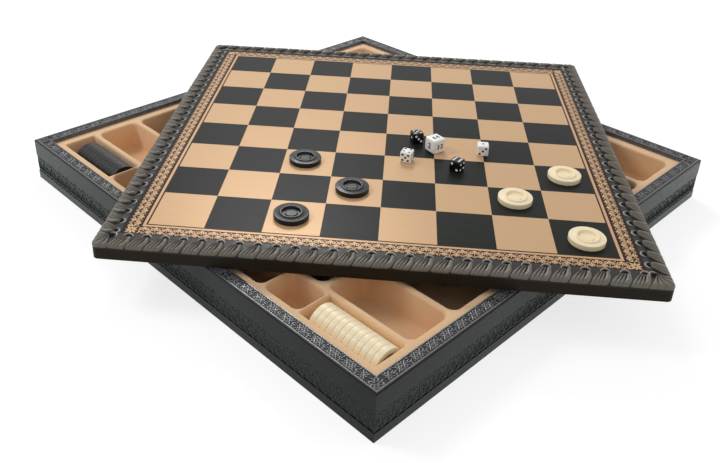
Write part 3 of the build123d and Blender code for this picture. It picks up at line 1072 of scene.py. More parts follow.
class BOARD_OT_lacing(bpy.types.Operator):
    """Whip-stitched lacing with its holes round the board's edge"""
    bl_idname = "board.lacing"
    bl_label = "Lacing"

    def execute(self, context):
        sizes = context.scene.board_sizes
        laces = round_board("board_laces", "lace_leather", lace_shape(sizes), corner_shape(sizes),
                            (0.0, sizes.lace_reach), 0.0, 0.05)
        settle(laces, "board", "lace_leather", *[f"board_lacing_{side}" for side in BOARD_EDGES])
        behind = sizes.lace_reach + HOLE_GAP
        aside = sizes.lace_slant * HOLE_ASIDE
        to_corner = Matrix.Rotation(-math.pi / 4, 4, "Z")
        for name, kind, shape, unevenness in (("board_hole_lips", "worn_leather", lip_shape, 0.04),
                                              ("board_lace_holes", "lace_hole", hole_shape, 0.03)):
            corner = shape(sizes)
            corner.transform(to_corner)
            piece = round_board(name, kind, shape(sizes), corner, (behind, behind), aside, unevenness)
            settle(piece, "board", "lace_leather")
        return {"FINISHED"}


EDGE_WIDTH = 0.0160  # from the board's side to the leather's inner end
EDGE_SKIN = 0.0012  # thickness of the leather on top
EDGE_WALL = 0.0032  # thickness of the leather over the side
EDGE_DROP = 0.0038  # how far down the side it reaches


class BOARD_OT_edge(bpy.types.Operator):
    """Rolled leather edge round the playing sheet"""
    bl_idname = "board.edge"
    bl_label = "Leather edge"

    def execute(self, context):
        sizes = context.scene.board_sizes
        half = board_half()
        top = board_top()
        roll = sizes.edge_roll
        section = [(EDGE_WIDTH, top - EDGE_SKIN), (EDGE_WIDTH, top)]
        section += [(roll * s, top - roll * c) for s, c in quarter(8)]
        section += [(0.0, top - EDGE_DROP), (EDGE_WALL, top - EDGE_DROP), (EDGE_WALL, top - EDGE_SKIN)]
        rings = []
        for depth, height in section:
            reach = half - depth
            rings.append(soft_ring(-reach, reach, -reach, reach, sizes.corner - depth, height))
        piece = add_object("board_leather_edge", loft_mesh("board_leather_edge", rings, 35, close=True))
        piece.data.transform(board_matrix())
        settle(piece, "board", "edge_leather", "board_laced_edge")
        return {"FINISHED"}


def scroll_shape(pitch, width, foil):
    """One foil ornament: two facing scrolls with a bud between them, leaves below and a row of small arcs."""
    foiled = Ornament(pitch, width, 0.0, foil)
    for way in (-1, 1):
        scroll = hook((way * 0.25, 0.66), 0.20, 180 if way > 0 else 0, -way * 400, 7, 0.62)
        leaf = curl((way * 0.03, 0.20), (way * 0.30, 0.22), (way * 0.44, 0.46), 4)
        foiled.stroke(scroll, 0.0008, 0.0013, 0.0010)
        foiled.stroke(leaf, 0.0008, 0.0018, 0.0005)
        foiled.stroke(hook((way * 0.25, 0.03), 0.19, 175, -170, 4, 0.0), 0.0007, 0.0010, 0.0007)
    foiled.stroke([(0.0, 0.36), (0.0, 0.68), (0.0, 0.97)], 0.0004, 0.0008, 0.0022)
    foiled.stroke([(0.5, 0.06), (0.5, 0.34), (0.5, 0.64)], 0.0018, 0.0008, 0.0004)
    foiled.stroke([(0.44, 0.95), (0.5, 0.90), (0.56, 0.95)], 0.0006, 0.0012, 0.0006)
    return foiled.mesh("scroll")


def rosette_shape(size, foil):
    """The foil rosette in a corner of the scroll band, with eight petals of two lengths."""
    points = []
    faces = []
    for number in range(8):
        angle = number * math.pi / 4
        reach = size * (0.46 if number % 2 == 0 else 0.56)
        line = [polar(radius, angle) for radius in (size * 0.08, reach * 0.6, reach)]
        add_stroke(points, faces, line, [0.0005, 0.0019, 0.0004], 0.0, foil)
    return mesh_of("rosette", points, faces, 30)


class BOARD_OT_scrolls(bpy.types.Operator):
    """Gold foil scroll band round the squares"""
    bl_idname = "board.scrolls"
    bl_label = "Scroll band"

    def execute(self, context):
        sizes = context.scene.board_sizes
        top = board_top()
        inner = sizes.frame_half_x + sizes.line + sizes.gold_line + sizes.band_gap
        outer = inner + sizes.band_width
        pitch = 2 * inner / sizes.scroll_count
        middle = (inner + outer) / 2
        foil = finish("gold_foil")
        shift = Matrix.Rotation(sizes.turn, 4, "Z") @ Vector((sizes.frame_shift_x, sizes.frame_shift_y, 0))
        lie = {"Place": tuple(board_place() + shift), "Turn": sizes.turn}
        rows = repeated("scroll_rows", scroll_shape(pitch, sizes.band_width, sizes.foil), foil,
                        Count=sizes.scroll_count, Pitch=pitch, Start=(-inner + pitch / 2, -outer, top), **lie)
        corners = repeated("scroll_corners", rosette_shape(sizes.band_width, sizes.foil), foil,
                           Count=1, Pitch=0.0, Start=(-middle, -middle, top), **lie)
        band = joined("board_scroll_band", [rows, corners])
        band.data.materials.append(foil)
        settle(band, "board", "playing_print")
        return {"FINISHED"}


# Case

PRESS_SINK = -0.0001  # how far a pressed ornament's strokes start below their ground
LEAF_BOWS = (  # one side of a leaf, as start, bend and end from its middle, with steps and width
    ((0.05, 0.15), (0.13, 0.30), (0.07, 0.60), 3, 0.0010),
    ((0.10, 0.13), (0.19, 0.20), (0.15, 0.46), 3, 0.0010),
    ((0.14, 0.12), (0.23, 0.13), (0.22, 0.32), 2, 0.0008),
)


def leaf_shape(pitch, height, depth):
    """One pair of leaf ornaments pressed into the case's sides, stood up to face outwards."""
    pressed = Ornament(pitch, height, PRESS_SINK, 0.1 * depth, 0.4 * depth)

    def stroke(line, widest):
        pressed.stroke(line, 0.0003, widest, 0.0002)

    for middle in (-0.25, 0.25):
        stroke(curl((middle, 0.17), (middle + 0.02, 0.4), (middle - 0.01, 0.68), 3), 0.0010)
        for way in (-1, 1):
            for *bow, steps, widest in LEAF_BOWS:
                stroke(curl(*[(middle + way * x, y) for x, y in bow], steps), widest)
    stroke(curl((0.46, 0.12), (0.48, 0.6), (0.45, 1.02), 4), 0.0010)
    stroke(curl((0.0, 0.14), (0.03, 0.45), (-0.01, 0.92), 4), 0.0010)
    stroke(hook((-0.14, 0.80), 0.06, -60, 290, 6, 0.35), 0.0008)
    stroke(hook((0.17, 0.77), 0.055, 240, -280, 6, 0.35), 0.0008)
    stroke(curl((-0.42, 0.46), (-0.38, 0.70), (-0.28, 0.94), 3), 0.0009)
    stroke(curl((0.35, 0.54), (0.36, 0.80), (0.30, 0.95), 3), 0.0009)
    return stood_up(pressed.mesh("leaf"))


def stood_up(mesh):
    """A flat ornament turned to face the front."""
    mesh.transform(Matrix.Rotation(math.pi / 2, 4, "X"))
    return mesh


def dash_shape(pitch):
    """Two dashes of the pressed line under the leaf band, coloured near-black as painted shade of the groove.
    """
    points = []
    faces = []
    for middle in (-0.25, 0.25):
        line = [((middle + x) * pitch, 0.0) for x in (-0.165, -0.13, 0.13, 0.165)]
        add_stroke(points, faces, line, [0.0005, 0.0010, 0.0010, 0.0005], PRESS_SINK, 0.00004)
    return stood_up(mesh_of("dash", points, faces, 30))


def embossed(wide, deep, depth):
    """An ornament of the rim's strip, and how its strokes are drawn."""
    raised = Ornament(wide, deep, PRESS_SINK, 0.6 * depth, 0.4 * depth)

    def stroke(line, widest):
        raised.stroke(line, 0.0006, widest, 0.0004)

    return raised, stroke


def arabesque_shape(pitch, width, depth):
    """One scroll of the rim's embossed strip: an eye between crossing stems, curls and leaves."""
    raised, stroke = embossed(pitch, width, depth)
    stroke(hook((0.0, 0.0), 0.13, 80, 335, 7, 0.05), 0.0015)
    for way in (-1, 1):
        start = 0 if way > 0 else 180
        stroke(curl((way * 0.50, -0.46), (way * 0.34, 0.12), (way * 0.10, 0.44), 4), 0.0015)
        stroke(curl((way * 0.50, 0.46), (way * 0.36, -0.10), (way * 0.12, -0.42), 4), 0.0015)
        stroke(hook((way * 0.33, 0.30), 0.085, start, way * 280, 4, 0.4), 0.0014)
        stroke(hook((way * 0.33, -0.30), 0.075, start, -way * 280, 4, 0.4), 0.0014)
        stroke(curl((way * 0.46, -0.10), (way * 0.50, 0.0), (way * 0.46, 0.12), 2), 0.0020)
        stroke(curl((way * 0.20, -0.10), (way * 0.24, 0.0), (way * 0.20, 0.10), 2), 0.0014)
    stroke([(0.0, 0.24), (0.0, 0.38), (0.0, 0.49)], 0.0024)
    stroke([(0.0, -0.24), (0.0, -0.38), (0.0, -0.49)], 0.0024)
    return raised.mesh("arabesque")


def corner_leaf_shape(size, depth):
    """The cluster of scrolls in a corner of the rim."""
    raised, stroke = embossed(size, size, depth)
    for number in range(4):
        start = number * 90
        x, y = polar(1, math.radians(start + 45))
        stroke(hook((0.30 * x, 0.30 * y), 0.15, start + 225, 330, 6, 0.5), 0.0014)
        end = (0.52 * (x + y) / 1.42, 0.52 * (y - x) / 1.42)
        stroke(curl((0.10 * x, 0.10 * y), (0.3 * y, -0.3 * x), end, 3), 0.0013)
    return raised.mesh("corner_leaf")


RIM_FLAT = 0.0003  # flat strip between the rim's round edge and its outer bead
RIM_LIP = 0.0010  # thickness of the leatherette that turns down inside the rim
BEAD_SLOPE = 0.0002  # width of the slope between a bead and the sunk channel
GROUND_END = 0.0003  # past the inner bead's foot, so that its slope has the ground's finish too


def rim_profile(sizes, lip_low):
    """Section of the rim's leatherette as (depth, height): round arris, bead, sunk channel, bead and lip."""
    arris, bead, inner, sunk = sizes.rim_arris, sizes.rim_bead, sizes.rim_width, -sizes.rim_depth
    start = arris + RIM_FLAT
    profile = [(0.0, -sizes.rim_thick)]
    profile += [(arris * c, -arris * s) for s, c in quarter(4)]
    profile += [(start, -0.00016), (start + 0.0003, -0.00002), (start + 0.0007, 0.0)]
    profile += [(start + bead - BEAD_SLOPE, -0.00003), (start + bead, sunk)]
    profile += [(inner - bead, sunk), (inner - bead + BEAD_SLOPE, -0.00004)]
    profile += [(inner - 0.0006, 0.0), (inner - 0.00015, -0.0001), (inner, -0.0004), (inner, lip_low)]
    profile += [(inner - RIM_LIP, lip_low), (inner - RIM_LIP, -sizes.rim_thick)]
    return profile


def rim_leather(sizes):
    """The leatherette over the rim, with the ground's painted shade in the channel and over the round edge
    outside the outer bead.
    """
    low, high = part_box("case_rim_strip_front_right")
    half = -low.y
    profile = rim_profile(sizes, low.z - high.z)
    rings = [square_ring(half - depth, high.z + height) for depth, height in profile]
    mesh = loft_mesh("case_rim_leather", rings, 50, close=True)
    mesh.materials.append(finish("rim_leatherette"))
    mesh.materials.append(finish("rim_ground"))
    start = sizes.rim_arris + RIM_FLAT
    sunk_from = start + sizes.rim_bead - BEAD_SLOPE
    sunk_to = sizes.rim_width - sizes.rim_bead + GROUND_END
    # Index 1 gives the channel and the round arris the ground's painted shade.
    for face in mesh.polygons:
        depth = half - max(abs(face.center.x), abs(face.center.y))
        face.material_index = 1 if depth < start or sunk_from < depth < sunk_to else 0
    return add_object("case_rim_leather", mesh)


STRIP_THICK = 0.0004  # how far the strips reach into the case's sides


def side_strips(sizes, face):
    """Plain leatherette along the pressed line, so that only the dashes show."""
    low = sizes.line_low
    high = sizes.line_low + sizes.line_width
    section = ((0.0, low), (0.0, high), (STRIP_THICK, high), (STRIP_THICK, low))
    rings = [square_ring(-face - depth, height) for depth, height in section]
    strips = add_object("case_side_strips", loft_mesh("case_side_strips", rings, 50, close=True))
    strips.data.materials.append(finish("case_leatherette"))
    return strips


CASE_SIDES = ("front_right", "back_right", "back_left", "front_left")
DASH_RISE = 0.0009  # how far the dashes lie above the leaf band's lower edge
CORNER_CELL = 0.0112  # side of the cell that a rim corner's scrolls fill
CORNER_SHIFT = 0.0005  # how far they lie inside the channel's middle


def case_rows(name, shape, kind, number, pitch, depth, height):
    """Copies of a shape along the case's four sides, with their middle in the sides' middle."""
    return repeated(name, shape, finish(kind), Count=number, Pitch=pitch,
                    Start=(-(number - 1) * pitch / 2, depth, height))


class BOARD_OT_case(bpy.types.Operator):
    """Pressed ornaments on the case's sides and rim"""
    bl_idname = "board.case"
    bl_label = "Case ornaments"

    def execute(self, context):
        sizes = context.scene.case_sizes
        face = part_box("case_side_cover_front_right")[0].y
        pressed = face + sizes.band_depth
        leaf = leaf_shape(sizes.band_pitch, sizes.band_height, sizes.band_depth)
        leaves = case_rows("case_side_leaves", leaf, "case_leatherette", sizes.band_count, sizes.band_pitch,
                           pressed, sizes.band_low)
        settle(leaves, "case", "case_leatherette")
        dashes = case_rows("case_side_dashes", dash_shape(sizes.band_pitch), "pressed_line", sizes.band_count,
                           sizes.band_pitch, pressed, sizes.band_low + DASH_RISE)
        settle(dashes, "case", "case_leatherette")
        settle(side_strips(sizes, face), "case", "case_leatherette")
        self.dress_rim(sizes, face)
        for side in CASE_SIDES:
            dress(f"case_side_cover_{side}", "case_leatherette")
            dress(f"case_wall_{side}", "panel_wood")
        dress("case_base_panel", "panel_wood")
        dress("case_base_sheet", "base_leatherette")
        return {"FINISHED"}

    def dress_rim(self, sizes, face):
        """Lays the scrolls in the rim's channel and the leatherette over the rim."""
        channel = sizes.rim_width - 2 * sizes.rim_bead - sizes.rim_arris - RIM_FLAT
        middle = face + sizes.rim_arris + RIM_FLAT + sizes.rim_bead + channel / 2
        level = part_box("case_rim_strip_front_right")[1].z - sizes.rim_depth
        scroll = arabesque_shape(sizes.rim_pitch, channel, sizes.rim_depth)
        scrolls = case_rows("rim_rows", scroll, "rim_leatherette", sizes.rim_count, sizes.rim_pitch,
                            middle, level)
        inset = middle + CORNER_SHIFT
        corners = repeated("rim_corners", corner_leaf_shape(CORNER_CELL, sizes.rim_depth),
                           finish("rim_leatherette"), Count=1, Pitch=0.0, Start=(inset, inset, level))
        settle(joined("case_rim_scrolls", [scrolls, corners]), "case", "rim_leatherette")
        strips = [f"case_rim_strip_{side}" for side in CASE_SIDES]
        settle(rim_leather(sizes), "case", "rim_leatherette", *strips)


# Tray

THIN_LIP = 0.45  # radius of a thin wall's top, as a share of the wall
TROUGH_CORNER = 0.0012


def lip_rings(place, lip_x, lip_y, corner, top, steps):
    """Rings that roll over a pocket's round lip and down into it."""
    x_low, x_high, y_low, y_high = place
    rings = []
    for s, c in quarter(steps):
        grow_x = lip_x * s
        grow_y = lip_y * s
        rings.append(soft_ring(x_low - grow_x, x_high + grow_x, y_low - grow_y, y_high + grow_y,
                               corner + min(grow_x, grow_y), top - max(lip_x, lip_y) * c))
    return rings


def pocket_rings(place, lip_x, lip_y, sizes, top):
    """Rings of a flat pocket, from its round lip down to the middle of its floor."""
    x_low, x_high, y_low, y_high = place
    fillet = sizes.fillet
    rings = lip_rings(place, lip_x, lip_y, sizes.corner, top, 6)
    for s, c in quarter(5):
        inset = fillet * c
        rings.append(soft_ring(x_low + inset, x_high - inset, y_low + inset, y_high - inset,
                               sizes.corner - inset, sizes.floor + fillet * s))
    return rings


def trough_rings(place, lip_x, lip_y, axis, radius, top):
    """Rings of a round-bottomed trough along Y."""
    x_low, x_high, y_low, y_high = place
    middle = (x_low + x_high) / 2
    steps = 24
    rings = lip_rings(place, lip_x, lip_y, TROUGH_CORNER, top, 5)
    for step in range(steps + 1):
        half, down = polar(radius, math.radians(90 * step / steps))
        rings.append(soft_ring(middle - half, middle + half, y_low, y_high, min(TROUGH_CORNER, 0.9 * half),
                               axis - down))
    return rings


DICE_POCKET = 0.036  # length of the pocket behind the first trough
NARROW_POCKET = 0.038  # width of the pockets beside the troughs
NARROW_END = 0.0765  # length of the two outer ones
END_POCKET = 0.050  # width of the pockets at the far side


def pocket_places(sizes, troughs):
    """Every flat pocket as (x low, x high, y low, y high), from the troughs and the ridges."""
    edge = sizes.pocket_edge
    ridge = sizes.ridge
    thin = sizes.thin_wall
    roll_high = troughs[0][1]
    dice_low = troughs[0][3] + thin
    dice_high = dice_low + DICE_POCKET
    spare_high = troughs[1][2] - thin
    narrow_low = roll_high + ridge
    narrow_high = narrow_low + NARROW_POCKET
    end_low = edge - END_POCKET
    wide_low = narrow_high + ridge
    wide_high = end_low - ridge
    centre = (wide_low + wide_high) / 2
    narrow_end = edge - NARROW_END
    places = [(-edge, roll_high, dice_low, dice_high), (-edge, roll_high, dice_high + thin, spare_high)]
    places += [(narrow_low, narrow_high, -edge, -narrow_end), (narrow_low, narrow_high, narrow_end, edge)]
    places += [(narrow_low, narrow_high, -narrow_end + ridge, narrow_end - ridge)]
    for low, high in ((wide_low, centre - ridge / 2), (centre + ridge / 2, wide_high), (end_low, edge)):
        places += [(low, high, -edge, -ridge / 2), (low, high, ridge / 2, edge)]
    return places


TROUGH_GAP = 0.0003  # between a rolled checker and its trough
TROUGH_SPARES = (0.008, 0.016)  # how much longer than its roll each trough is


def trough_places(sizes, checkers):
    """The two troughs as (x low, x high, y low, y high), and their radius."""
    edge = sizes.pocket_edge
    radius = checkers.checker_radius + TROUGH_GAP
    roll = checkers.rolled * checkers.checker_thick + (checkers.rolled - 1) * checkers.roll_gap
    near, far = TROUGH_SPARES
    return [(-edge, -edge + 2 * radius, -edge, -edge + roll + near),
            (-edge, -edge + 2 * radius, edge - roll - far, edge)], radius


def add_plate(points, faces, outline, holes):
    """Adds a flat plate with holes."""
    flat = [outline] + holes
    base = len(points)
    points.extend(point for ring in flat for point in ring)
    for triangle in tessellate_polygon([[Vector(p) for p in ring] for ring in flat]):
        faces.append(tuple(base + i for i in triangle))


class BOARD_OT_tray(bpy.types.Operator):
    """Flocked tray with round ridges, flat pockets and two round troughs"""
    bl_idname = "board.tray"
    bl_label = "Tray"

    def execute(self, context):
        sizes = context.scene.tray_sizes
        low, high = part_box("case_tray")
        top = high.z
        troughs, radius = trough_places(sizes, context.scene.piece_sizes)
        axis = sizes.floor + sizes.trough_raise + radius
        thin_lip = sizes.thin_wall * THIN_LIP
        hollows = [trough_rings(place, sizes.lip, thin_lip, axis, radius, top) for place in troughs]
        for place in pocket_places(sizes, troughs):
            beside_trough = place[0] == -sizes.pocket_edge
            lip_y = thin_lip if beside_trough else sizes.lip
            hollows.append(pocket_rings(place, sizes.lip, lip_y, sizes, top))
        points = []
        faces = []
        for rings in hollows:
            add_loft(points, faces, rings, end_cap=True)
        outline = soft_ring(low.x, high.x, low.y, high.y, 0.0, top, 1)
        add_plate(points, faces, outline, [rings[0] for rings in hollows])
        add_loft(points, faces, [outline, [(x, y, low.z) for x, y, _ in outline]], end_cap=True)
        piece = add_object("case_flocked_tray", mesh_of("case_flocked_tray", points, faces, 50))
        settle(piece, "case", "tray_flock", "case_tray")
        return {"FINISHED"}


# Checkers and dice

HOLLOW = [(0.0, 0.0014), (0.0090, 0.0014), (0.0096, 0.0011), (0.0098, 0.0)]  # the underside's hollow
DISH = 0.0010  # how deep the top is sunk inside its ring
# The small ring inside the dish, as radii with heights above the dish
SMALL_RING = ((0.0051, 0.0), (0.0049, 0.0006), (0.0047, 0.0007), (0.0040, 0.0007), (0.0037, 0.0004),
              (0.0, 0.0004))


def checker_profile(sizes, soft, proud):
    """Half section of a checker: hollow underside, soft outer edge, raised ring and small inner ring."""
    radius = sizes.checker_radius
    thick = sizes.checker_thick
    rim = thick - proud
    floor = rim - DISH
    ring_out = sizes.ring_radius
    ring_in = ring_out - sizes.ring_width
    profile = HOLLOW + [(radius - soft * s, soft * c) for s, c in quarter(4)]
    profile += [(radius - soft * c, rim - soft * s) for s, c in quarter(4)]
    profile += [(ring_out + 0.0003, rim), (ring_out + 0.0001, rim + 0.0001)]
    profile += [(ring_out - 0.0002, thick - 0.0001), (ring_out - 0.0005, thick)]
    profile += [(ring_in + 0.0005, thick), (ring_in + 0.0002, thick - 0.0001)]
    profile += [(ring_in, rim), (ring_in - 0.0004, floor)]
    return profile + [(out, floor + rise) for out, rise in SMALL_RING]


def checker_mesh(sizes):
    """A checker that lies on the board."""
    return mesh_of("checker", *turned(checker_profile(sizes, 0.0004, sizes.ring_proud), 96), 35)


def rolled_mesh(sizes):
    """A checker in a roll: its outer band takes the whole thickness, so that only fine seams show."""
    shape = mesh_of("rolled_checker", *turned(checker_profile(sizes, 0.0001, 0.0002), 64), 35)
    shape.transform(Matrix.Rotation(math.pi / 2, 4, "Y"))
    return shape


class BOARD_OT_checkers(bpy.types.Operator):
    """Turned checkers on the board and in the two rolls"""
    bl_idname = "board.checkers"
    bl_label = "Checkers"

    def execute(self, context):
        sizes = context.scene.piece_sizes
        for tint in ("ivory", "black"):
            slot = f"{tint}_checker"
            for number in (1, 2, 3):
                node = f"{slot}_{number}"
                low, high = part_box(node)
                piece = add_object(f"{node}_turned", checker_mesh(sizes))
                piece.data.transform(Matrix.Translation(((low.x + high.x) / 2, (low.y + high.y) / 2, low.z)))
                settle(piece, node, slot, node)
            nodes = [f"{tint}_rolled_checker_{i:02d}" for i in range(1, sizes.rolled + 1)]
            low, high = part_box(nodes[0])
            middle = ((low.x + high.x) / 2, low.y, (low.z + high.z) / 2)
            roll = repeated(f"{tint}_rolled_checkers", rolled_mesh(sizes), finish(slot), Sides=1,
                            Count=sizes.rolled, Pitch=sizes.checker_thick + sizes.roll_gap, Unevenness=0.003,
                            Place=middle, Turn=math.pi / 2)
            settle(roll, f"{tint}_roll", slot, *nodes)
        return {"FINISHED"}


PIPS = {
    1: [(0, 0)],
    2: [(-1, -1), (1, 1)],
    3: [(-1, -1), (0, 0), (1, 1)],
    4: [(-1, -1), (1, 1), (-1, 1), (1, -1)],
    5: [(-1, -1), (1, 1), (-1, 1), (1, -1), (0, 0)],
    6: [(-1, -1), (1, 1), (-1, 1), (1, -1), (-1, 0), (1, 0)],
}
FACE_TURNS = {
    "top": Matrix.Identity(4),
    "bottom": Matrix.Rotation(math.pi, 4, "X"),
    "front": Matrix.Rotation(math.pi / 2, 4, "X"),
    "back": Matrix.Rotation(math.pi, 4, "Z") @ Matrix.Rotation(math.pi / 2, 4, "X"),
    "right": Matrix.Rotation(math.pi / 2, 4, "Z") @ Matrix.Rotation(math.pi / 2, 4, "X"),
    "left": Matrix.Rotation(-math.pi / 2, 4, "Z") @ Matrix.Rotation(math.pi / 2, 4, "X"),
}
# Each die's turn in degrees on the board, its numbers, and the faces whose pips run the other way
DICE = {
    "white_die_1": (-18, {"top": 4, "front": 5, "right": 6}, ()),
    "white_die_2": (-2, {"top": 1, "front": 3, "right": 2}, ()),
    "black_die_1": (21, {"top": 5, "front": 3, "left": 1}, ("front",)),
    "black_die_2": (-32, {"top": 6, "front": 2, "right": 4}, ("front",)),
}
OPPOSITE = {"top": "bottom", "bottom": "top", "front": "back", "back": "front", "right": "left",
            "left": "right"}


def rounded_cube(side, radius):
    """A cube with round edges about the origin."""
    work = bmesh.new()
    bmesh.ops.create_cube(work, size=side)
    bmesh.ops.bevel(work, geom=work.edges[:] + work.verts[:], offset=radius, segments=6, profile=0.5,
                    affect="EDGES", clamp_overlap=True)
    return finish_mesh(mesh_from_work(work, "cube"), 50)


PIP_SPREAD = 0.25  # from a face's middle to its pips, as a share of the side
PIP_RAISE = 0.35  # how far a cutting ball's middle lies out of the face, as a share of its radius


def pip_cutters(side, pip, numbers, crossed):
    """Balls that cut the pips. Opposite faces make seven, and the crossed faces run the other way."""
    every = dict(numbers)
    for name, number in numbers.items():
        every[OPPOSITE[name]] = 7 - number
    work = bmesh.new()
    for name, number in every.items():
        way = -1 if name in crossed else 1
        for x, y in PIPS[number]:
            spot = Vector((way * x * side * PIP_SPREAD, y * side * PIP_SPREAD, side / 2 + pip * PIP_RAISE))
            place = FACE_TURNS[name] @ Matrix.Translation(spot)
            bmesh.ops.create_uvsphere(work, u_segments=16, v_segments=10, radius=pip, matrix=place)
    return mesh_from_work(work, "pips")


def die_mesh(side, sizes, numbers, crossed, body, mark):
    """A die with round edges and sunk, painted pips."""
    cube = add_object("die_body", rounded_cube(side, side * sizes.die_round))
    cube.data.materials.append(finish(body))
    cutter = add_object("die_pips", pip_cutters(side, side * sizes.pip, numbers, crossed))
    cutter.data.materials.append(finish(mark))
    cut = cube.modifiers.new("Pips", "BOOLEAN")
    cut.operation = "DIFFERENCE"
    cut.solver = "EXACT"
    cut.material_mode = "TRANSFER"
    cut.object = cutter
    return smooth_mesh(evaluated_mesh(cube, cutter), 35)


def on_board(low, high, degrees):
    """The place of a cube that lies on the board, turned against it."""
    turn = bpy.context.scene.board_sizes.turn + math.radians(degrees)
    return Matrix.Translation((low + high) / 2) @ Matrix.Rotation(turn, 4, "Z")


class BOARD_OT_dice(bpy.types.Operator):
    """Four dice with sunk pips"""
    bl_idname = "board.dice"
    bl_label = "Dice"

    def execute(self, context):
        sizes = context.scene.piece_sizes
        for node, (degrees, numbers, crossed) in DICE.items():
            low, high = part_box(node)
            body = node[:-2]
            mark = "dark_mark" if body == "white_die" else "light_mark"
            piece = add_object(f"{node}_pips", die_mesh(high.z - low.z, sizes, numbers, crossed, body, mark))
            piece.data.transform(on_board(low, high, degrees))
            settle(piece, node, body, node)
        return {"FINISHED"}


CUBE_NUMBERS = {"left": "2", "right": "4", "back": "8", "bottom": "16", "front": "32", "top": "64"}
CUBE_TURN = 40  # degrees on the board
WIDE_NUMERAL = 1.15  # how many times smaller a numeral of two figures is
NUMERAL_HALF = 0.00004  # half of a numeral's thickness
NUMERAL_BOLD = 0.00022  # how far its strokes are widened
NUMERAL_SPACE = 1.3  # space between figures, against the typeface's own


def numeral_mesh(text, size):
    """A numeral as a thin plate about its own middle."""
    letters = bpy.data.curves.new(f"numeral_{text}", "FONT")
    letters.body = text
    letters.size = size / (1.0 if len(text) == 1 else WIDE_NUMERAL)
    letters.align_x = "CENTER"
    letters.align_y = "CENTER"
    letters.extrude = NUMERAL_HALF
    letters.offset = NUMERAL_BOLD
    letters.space_character = NUMERAL_SPACE
    mesh = evaluated_mesh(add_object(f"numeral_{text}", letters))
    across = [v.co.x for v in mesh.vertices]
    up = [v.co.y for v in mesh.vertices]
    mesh.transform(Matrix.Translation((-(min(across) + max(across)) / 2, -(min(up) + max(up)) / 2, 0)))
    return mesh


class BOARD_OT_doubling_cube(bpy.types.Operator):
    """Doubling cube with a number on each face"""
    bl_idname = "board.doubling_cube"
    bl_label = "Doubling cube"

    def execute(self, context):
        sizes = context.scene.piece_sizes
        low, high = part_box("doubling_cube")
        side = high.z - low.z
        place = on_board(low, high, CUBE_TURN)
        pieces = []
        for face, text in CUBE_NUMBERS.items():
            mesh = numeral_mesh(text, side * sizes.numeral)
            mesh.transform(place @ FACE_TURNS[face] @ Matrix.Translation((0, 0, side / 2)))
            pieces.append(add_object("numeral", mesh))
        numerals = joined("doubling_cube_numerals", pieces)
        numerals.data.materials.clear()
        numerals.data.materials.append(finish("dark_mark"))
        settle(numerals, "doubling_cube", "doubling_cube")
        body = add_object("doubling_cube_body", rounded_cube(side, side * sizes.die_round))
        body.data.transform(place)
        settle(body, "doubling_cube", "doubling_cube", "doubling_cube")
        return {"FINISHED"}


PANELS = {"board_core": "panel_wood", "board_playing_sheet": "playing_print",
          "board_edge_binding": "binding_leather", "board_backgammon_frame": "edge_leather",
          "board_backgammon_sheet": "backgammon_print"}


class BOARD_OT_panels(bpy.types.Operator):
    """Finishes of the board's own panels"""
    bl_idname = "board.panels"
    bl_label = "Board panels"

    def execute(self, context):
        for node, name in PANELS.items():
            dress(node, name)
        return {"FINISHED"}


# Stage

WHITE = (1, 1, 1, 1)

# Each lamp's place, the point it's aimed at, its width, and its height where it isn't round
LAMPS = {
    "key": ((-0.78, 0.84, 1.25), (0, 0, 0.03), 0.5, None),
    "fill": ((0.7, -1.3, 0.9), (0, 0, 0.03), 1.2, None),
    "back": ((0.56, 0.78, 0.95), (-0.05, -0.05, 0.04), 0.4, 0.2),
}
CAMERA_PLACE = (-0.47618, -0.43846, 0.37884)
CAMERA_TURN = (1.0862153, -0.0250629, -0.767755)
CAMERA_SHIFT = (0.03513, -0.11454)


def area_lamp(name, energy):
    place, target, wide, tall = LAMPS[name]
    lamp = bpy.data.lights.new(f"{name}_lamp", "AREA")
    lamp.shape = "RECTANGLE" if tall else "DISK"
    lamp.size = wide
    if tall:
        lamp.size_y = tall
    lamp.energy = energy
    holder = add_object(lamp.name, lamp)
    holder.location = place
    holder.rotation_euler = (Vector(target) - Vector(place)).to_track_quat("-Z", "Y").to_euler()


def add_camera(focal):
    data = bpy.data.cameras.new("camera")
    data.sensor_width = 36.0
    data.sensor_fit = "HORIZONTAL"
    data.lens = focal
    data.shift_x, data.shift_y = CAMERA_SHIFT
    data.clip_start = 0.01
    camera = add_object("camera", data)
    camera.location = CAMERA_PLACE
    camera.rotation_euler = CAMERA_TURN
    return camera


def seen_directly(tree):
    """1 for what the camera sees itself or mirrored, and 0 for light that falls on surfaces."""
    path = tree.add("ShaderNodeLightPath").outputs
    direct = tree.math("MAXIMUM", path["Is Camera Ray"], path["Is Transmission Ray"])
    return tree.math("MAXIMUM", direct, path["Is Glossy Ray"])


def studio_world(sky):
    """Even light from all round, which looks white."""
    world = bpy.data.worlds.new("studio")
    world.use_nodes = True
    tree = Tree(world.node_tree)
    back = world.node_tree.nodes["Background"]
    back.inputs["Color"].default_value = WHITE
    tree.put(back.inputs["Strength"], tree.math("MAXIMUM", seen_directly(tree), sky))
    return world


